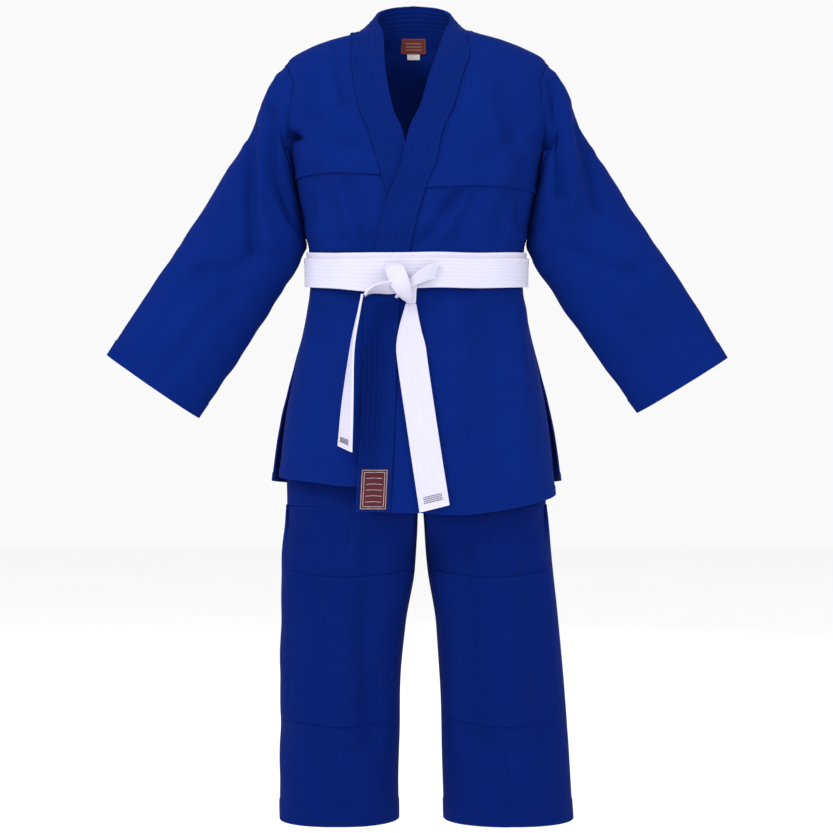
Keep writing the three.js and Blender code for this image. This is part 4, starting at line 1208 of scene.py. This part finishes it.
def make_waistband():
    across, angle = np.linspace(0, 1, 44), np.linspace(0, 2 * math.pi, 360, endpoint=False)
    tt, aa = np.meshgrid(across, angle, indexing="ij")
    z = WAIST_TOP_Z - WAISTBAND * tt
    base = seat.at(aa, z)
    outward = base.copy()
    outward[..., 2] = 0
    outward = unit(outward)
    front = np.exp(-(np.minimum(aa, 2 * math.pi - aa) / 0.35) ** 2)
    gather = 0.7 * np.cos(aa * 58) * np.sin(math.pi * tt) ** 0.5 * (1 - front)
    channel = sum(np.exp(-((tt - row) * WAISTBAND / 1.0) ** 2) for row in CHANNEL_ROWS)
    edge = 1.2 * np.clip(1 - np.minimum(tt, 1 - tt) * WAISTBAND / 1.8, 0, 1) ** 2
    outer = base + outward * (4 + gather - 0.5 * channel - edge)[..., None]
    inner = base + outward * (0.3 * channel + edge * 0.6)[..., None]
    uv = np.stack([aa * 98, tt * WAISTBAND], axis=-1)
    band = cloth_solid("look_waistband", outer, inner, TROUSER, closed=True, uv=uv)
    cutters = []
    for side in (-1, 1):
        bpy.ops.mesh.primitive_cylinder_add(
            radius=4 * MM, depth=30 * MM, vertices=28, rotation=(math.pi / 2, 0, 0),
            location=(side * EYELET_X * MM, -76 * MM, EYELET_Z * MM))
        cutters.append(bpy.context.object)
        cut = band.modifiers.new("eyelet", "BOOLEAN")
        cut.operation, cut.object, cut.solver = "DIFFERENCE", cutters[-1], "EXACT"
    bpy.context.view_layer.update()
    cut_mesh = bpy.data.meshes.new_from_object(band.evaluated_get(bpy.context.evaluated_depsgraph_get()))
    band.modifiers.clear()
    band.data = cut_mesh
    for cutter in cutters:
        bpy.data.objects.remove(cutter)
    declare(base,
            nodes=["waistband"])
    rows = []
    for row in CHANNEL_ROWS:
        i = int(round(row * 43))
        at_eyelet = (np.abs(np.abs(base[i, :, 0]) - EYELET_X) < 7) & (base[i, :, 1] < 0) & (0.3 < row < 0.7)
        keep = [j for j in (*range(len(angle)), 0) if not at_eyelet[j]]
        halves = [k for k in range(1, len(keep)) if keep[k] - keep[k - 1] > 1]
        for part in np.split(np.array(keep), halves):
            if len(part) > 3:
                rows.append((outer[i, part], outward[i, part]))
    sew(band, rows, DARK_THREAD, riding("trousers"))
    for side, word in ((-1, "right"), (1, "left")):
        a, b = np.meshgrid(np.linspace(0, 2 * math.pi, 40, endpoint=False),
                           np.linspace(0, 2 * math.pi, 16, endpoint=False), indexing="ij")
        radius = 4.6 + 1.3 * np.cos(b) + 0.08 * np.sin(a * 20)
        x = side * EYELET_X + radius * np.cos(a)
        z = EYELET_Z + radius * np.sin(a)
        face = seat.at(np.arctan2(x, 76.0), z)[..., 1]
        points = np.stack([x, face - 4.3 - 0.7 * np.sin(b), z], axis=-1)
        n, m = a.shape
        i, j = np.meshgrid(np.arange(n), np.arange(m), indexing="ij")
        here, beyond, k = i * m, ((i + 1) % n) * m, (j + 1) % m
        quad = np.stack([here + j, beyond + j, beyond + k, here + k], -1)
        mesh = mesh_from(f"look_eyelet_{word}", points.reshape(-1, 3), quad.reshape(-1, 4))
        mesh.materials.append(EYELET)
        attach(link(mesh, f"look_eyelet_{word}"), "trousers")


LEG_CREASES = {
    RIGHT: [([(-150, -700), (-130, -850), (-140, -1000)], -4, 16),
            ([(-60, -690), (-70, -840), (-60, -960)], -4, 16),
            ([(-100, -780), (-95, -900), (-110, -1040)], 3, 18),
            ([(-180, -960), (-120, -990), (-60, -975)], -2.5, 12)],
    LEFT: [([(150, -700), (160, -850), (180, -1010)], -4, 16), ([(60, -690), (74, -850), (78, -980)], -4, 16),
           ([(104, -780), (116, -900), (132, -1040)], 3, 18),
           ([(70, -965), (130, -985), (190, -960)], -2.5, 12)],
}
KNEE_TOP_Z, KNEE_END_Z, KNEE_HALF_ANGLE = -738, -940, 60


def make_leg(side, word):
    sections = LEG_SECTIONS[side]
    outer_x, inner_x, depth = (curve(sections, c) for c in (1, 2, 3))

    def at(angle, z, extra=0.0):
        half, deep = np.abs(outer_x(z) - inner_x(z)) / 2, depth(z)
        n = 2.3
        reach = (np.abs(np.sin(angle) / half) ** n + np.abs(np.cos(angle) / deep) ** n) ** (-1 / n) + extra
        x = (outer_x(z) + inner_x(z)) / 2 + reach * np.sin(angle)
        y = -reach * np.cos(angle)
        level_z = np.full(np.shape(x), float(CROTCH_Z))
        on_seat = np.abs(seat.at(seat.angle_at_x(np.clip(np.abs(x), 0, 177.5), level_z), level_z)[..., 1])
        on_back = on_seat * 90 / 84
        depth_at = np.where(y < 0, on_seat, on_back) + extra
        share = smooth((z - CROTCH_Z + 75) / 75) * smooth((np.abs(np.cos(angle)) - 0.05) / 0.35)
        return np.stack([x, mix(y, np.sign(y) * depth_at, share), z + 0 * reach], -1)

    zc, ac = np.linspace(LEG_END_Z, CROTCH_Z - 0.2, 60), np.linspace(0, 2 * math.pi, 72, endpoint=False)
    zz, aa = np.meshgrid(zc, ac, indexing="ij")
    rest = at(aa, zz)
    hold = 0.58 + 0.42 * smooth((zz - CROTCH_Z + 40) / 40)
    field = Field(zc, ac, drape(rest, hold, limit=7.0), 2 * math.pi)

    def shift(angle, z):
        p = at(angle, z)
        front, back = front_and_back(p[..., 1])
        fold = sum(crease(p[..., 0], p[..., 2], pts, d, w) for pts, d, w in LEG_CREASES[side])
        total = 1.6 * fold * (front + 0.7 * back) + trouser_ripple(angle, z, 61 + side)
        free = smooth((CROTCH_Z - 2 - z) / 40)
        out = np.stack([np.sin(angle), -np.cos(angle), 0 * angle], -1)
        return (out * total[..., None] + field(z, angle)) * free[..., None]

    v = spread(150, (1, 0.03, 20))
    angle = np.linspace(0, 2 * math.pi, 144, endpoint=False)
    vv, aa = np.meshgrid(v, angle, indexing="ij")
    z = mix(CROTCH_Z - 0.2, LEG_END_Z, vv)
    move = shift(aa, z)
    hem = swell(z - LEG_END_Z, 25, 0.9)
    outseam = 0.5 * np.exp(-((aa - (math.pi / 2 if side == LEFT else 1.5 * math.pi)) * 85 / 2.2) ** 2)
    outer = at(aa, z, CLOTH + hem + outseam) + move
    inner = at(aa, z, 0.0) + move
    uv = np.stack([aa * 85 + 600 * side, z], axis=-1)
    leg = cloth_solid(f"look_trouser_leg_{word}", outer, inner, TROUSER, closed=True, uv=uv)
    declare(at(aa, z),
            nodes=[f"trouser_leg_{word}"])
    up = unit(outer - inner)
    above_hem = z[:, 0] - LEG_END_Z
    rows = [round_row(outer, up, int(np.argmin(np.abs(above_hem - distance)))) for distance in (9.5, 25.0)]
    j = 34 if side == LEFT else 110
    rows.append((outer[:, j], up[:, j]))
    u = spread(80)
    v = spread(90, (0, 0.03, 7), (1, 0.03, 7))
    uu, vv = np.meshgrid(u, v)
    sag = 8 * (1 - (2 * uu - 1) ** 2)
    kz = mix(KNEE_TOP_Z, KNEE_END_Z, vv) - sag
    ka = math.radians(KNEE_HALF_ANGLE) * (2 * uu - 1)
    near = np.minimum(np.minimum(vv, 1 - vv) * 202, np.minimum(uu, 1 - uu) * 190)
    lap = swell(near, 6, 0.5)
    kmove = shift(ka, kz)
    kouter = at(ka, kz, CLOTH + 0.3 + CLOTH + lap) + kmove
    kinner = at(ka, kz, CLOTH + 0.3) + kmove
    knee = cloth_solid(f"look_knee_patch_{word}", kouter, kinner, TROUSER)
    declare(kinner,
            nodes=[f"knee_patch_{word}"])
    kup = unit(kouter - kinner)
    top, bottom = 3, len(v) - 4
    rows += [(kouter[top, 2:-2], kup[top, 2:-2]), (kouter[bottom, 2:-2], kup[bottom, 2:-2]),
             side_stitches(kouter, kinner, 4.0), side_stitches(kouter, kinner, 4.0, last=False)]
    place = bending()
    sew(leg, rows, DARK_THREAD, place)
    place(knee)


def make_gusset():
    middle = (LEG_SECTIONS[RIGHT][0][2] + LEG_SECTIONS[LEFT][0][2]) / 2
    u, v = np.meshgrid(np.linspace(-0.5, 0.5, 9), np.linspace(-0.5, 0.5, 120))
    x = middle + u * (4.2 - 0.5 * np.cos(v * 9))
    y = 3 + v * 172
    dip = 0.3 * np.cos(v * 60) * (1 - (2 * u) ** 2)
    outer = np.stack([x, y, CROTCH_Z - CLOTH + dip], axis=-1)
    inner = np.stack([x, y, CROTCH_Z + 0 * x], axis=-1)
    gusset = cloth_solid("look_crotch_gusset", outer, inner, TROUSER)
    declare(outer, nodes=["crotch_gusset"])
    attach(gusset, "trousers")


make_fronts()
make_back()
make_band(LEFT, "left", -655, climb)
make_band(RIGHT, "right", -620, flat_lift)
make_patch()
make_labels()
make_sleeve(LEFT, "left")
make_sleeve(RIGHT, "right")
make_wrap("look_belt_inner_wrap", "belt_inner_wrap", 0, WRAP_STAGGER / 2)
make_wrap("look_belt_outer_wrap", "belt_outer_wrap", BELT + LAYER_GAP, -WRAP_STAGGER / 2)
make_knot()
make_tails()
make_seat()
make_waistband()
make_leg(LEFT, "left")
make_leg(RIGHT, "right")
make_gusset()


# ---------- backdrop, light and camera ----------
def backdrop():
    """Plain pale floor, far below the garment."""
    mesh = bpy.data.meshes.new("floor")
    mesh.from_pydata([(-7, -7, -1.25), (7, -7, -1.25), (7, 7, -1.25), (-7, 7, -1.25)], [], [(0, 1, 2, 3)])
    n = Nodes("studio_paper")
    place = n.add("ShaderNodeTexCoord").outputs["Object"]
    grain = n.noise(place, 3.0)
    n.join(n.mix_colour(grain, (0.955, 0.955, 0.955), (0.975, 0.975, 0.975)), n.shader.inputs["Base Color"])
    n.shader.inputs["Roughness"].default_value = 0.95
    n.shader.inputs["Specular IOR Level"].default_value = 0.0
    mesh.materials.append(n.material)
    link(mesh, "floor")


def area_light(name, place, target, size, power):
    data = bpy.data.lights.new(name, "AREA")
    data.shape, data.size, data.energy = "DISK", size, power
    light = bpy.data.objects.new(name, data)
    bpy.context.scene.collection.objects.link(light)
    from_to = np.array(target, float) - np.array(place, float)
    light.location = place
    light.rotation_euler = (math.acos(-from_to[2] / np.linalg.norm(from_to)), 0,
                            math.atan2(from_to[0], -from_to[1]) + math.pi)


def studio():
    world = bpy.data.worlds.new("studio")
    bpy.context.scene.world = world
    world.use_nodes = True
    world.node_tree.nodes["Background"].inputs["Color"].default_value = (1, 1, 1, 1)
    world.node_tree.nodes["Background"].inputs["Strength"].default_value = 0.95
    area_light("key", (-1.7, -1.7, 1.5), (0, 0, -0.45), 1.0, 40)
    area_light("fill", (1.9, -1.6, 0.6), (0, 0, -0.55), 1.4, 12)
    area_light("front_fill", (0.1, -2.5, -0.1), (0, 0, -0.4), 0.5, 8)
    area_light("back_fill", (0.6, 2.4, 0.9), (0, 0, -0.5), 1.8, 14)


backdrop()
studio()
bpy.context.scene.view_settings.view_transform = "Standard"
camera_data = bpy.data.cameras.new("camera")
camera_data.sensor_width = 36
camera_data.lens = 36 * 2.4 / 1.166
camera = bpy.data.objects.new("camera", camera_data)
camera.location = (0, -2.4, -0.5272)
camera.rotation_euler = (math.pi / 2, 0, 0)
bpy.context.scene.collection.objects.link(camera)
bpy.context.scene.camera = camera
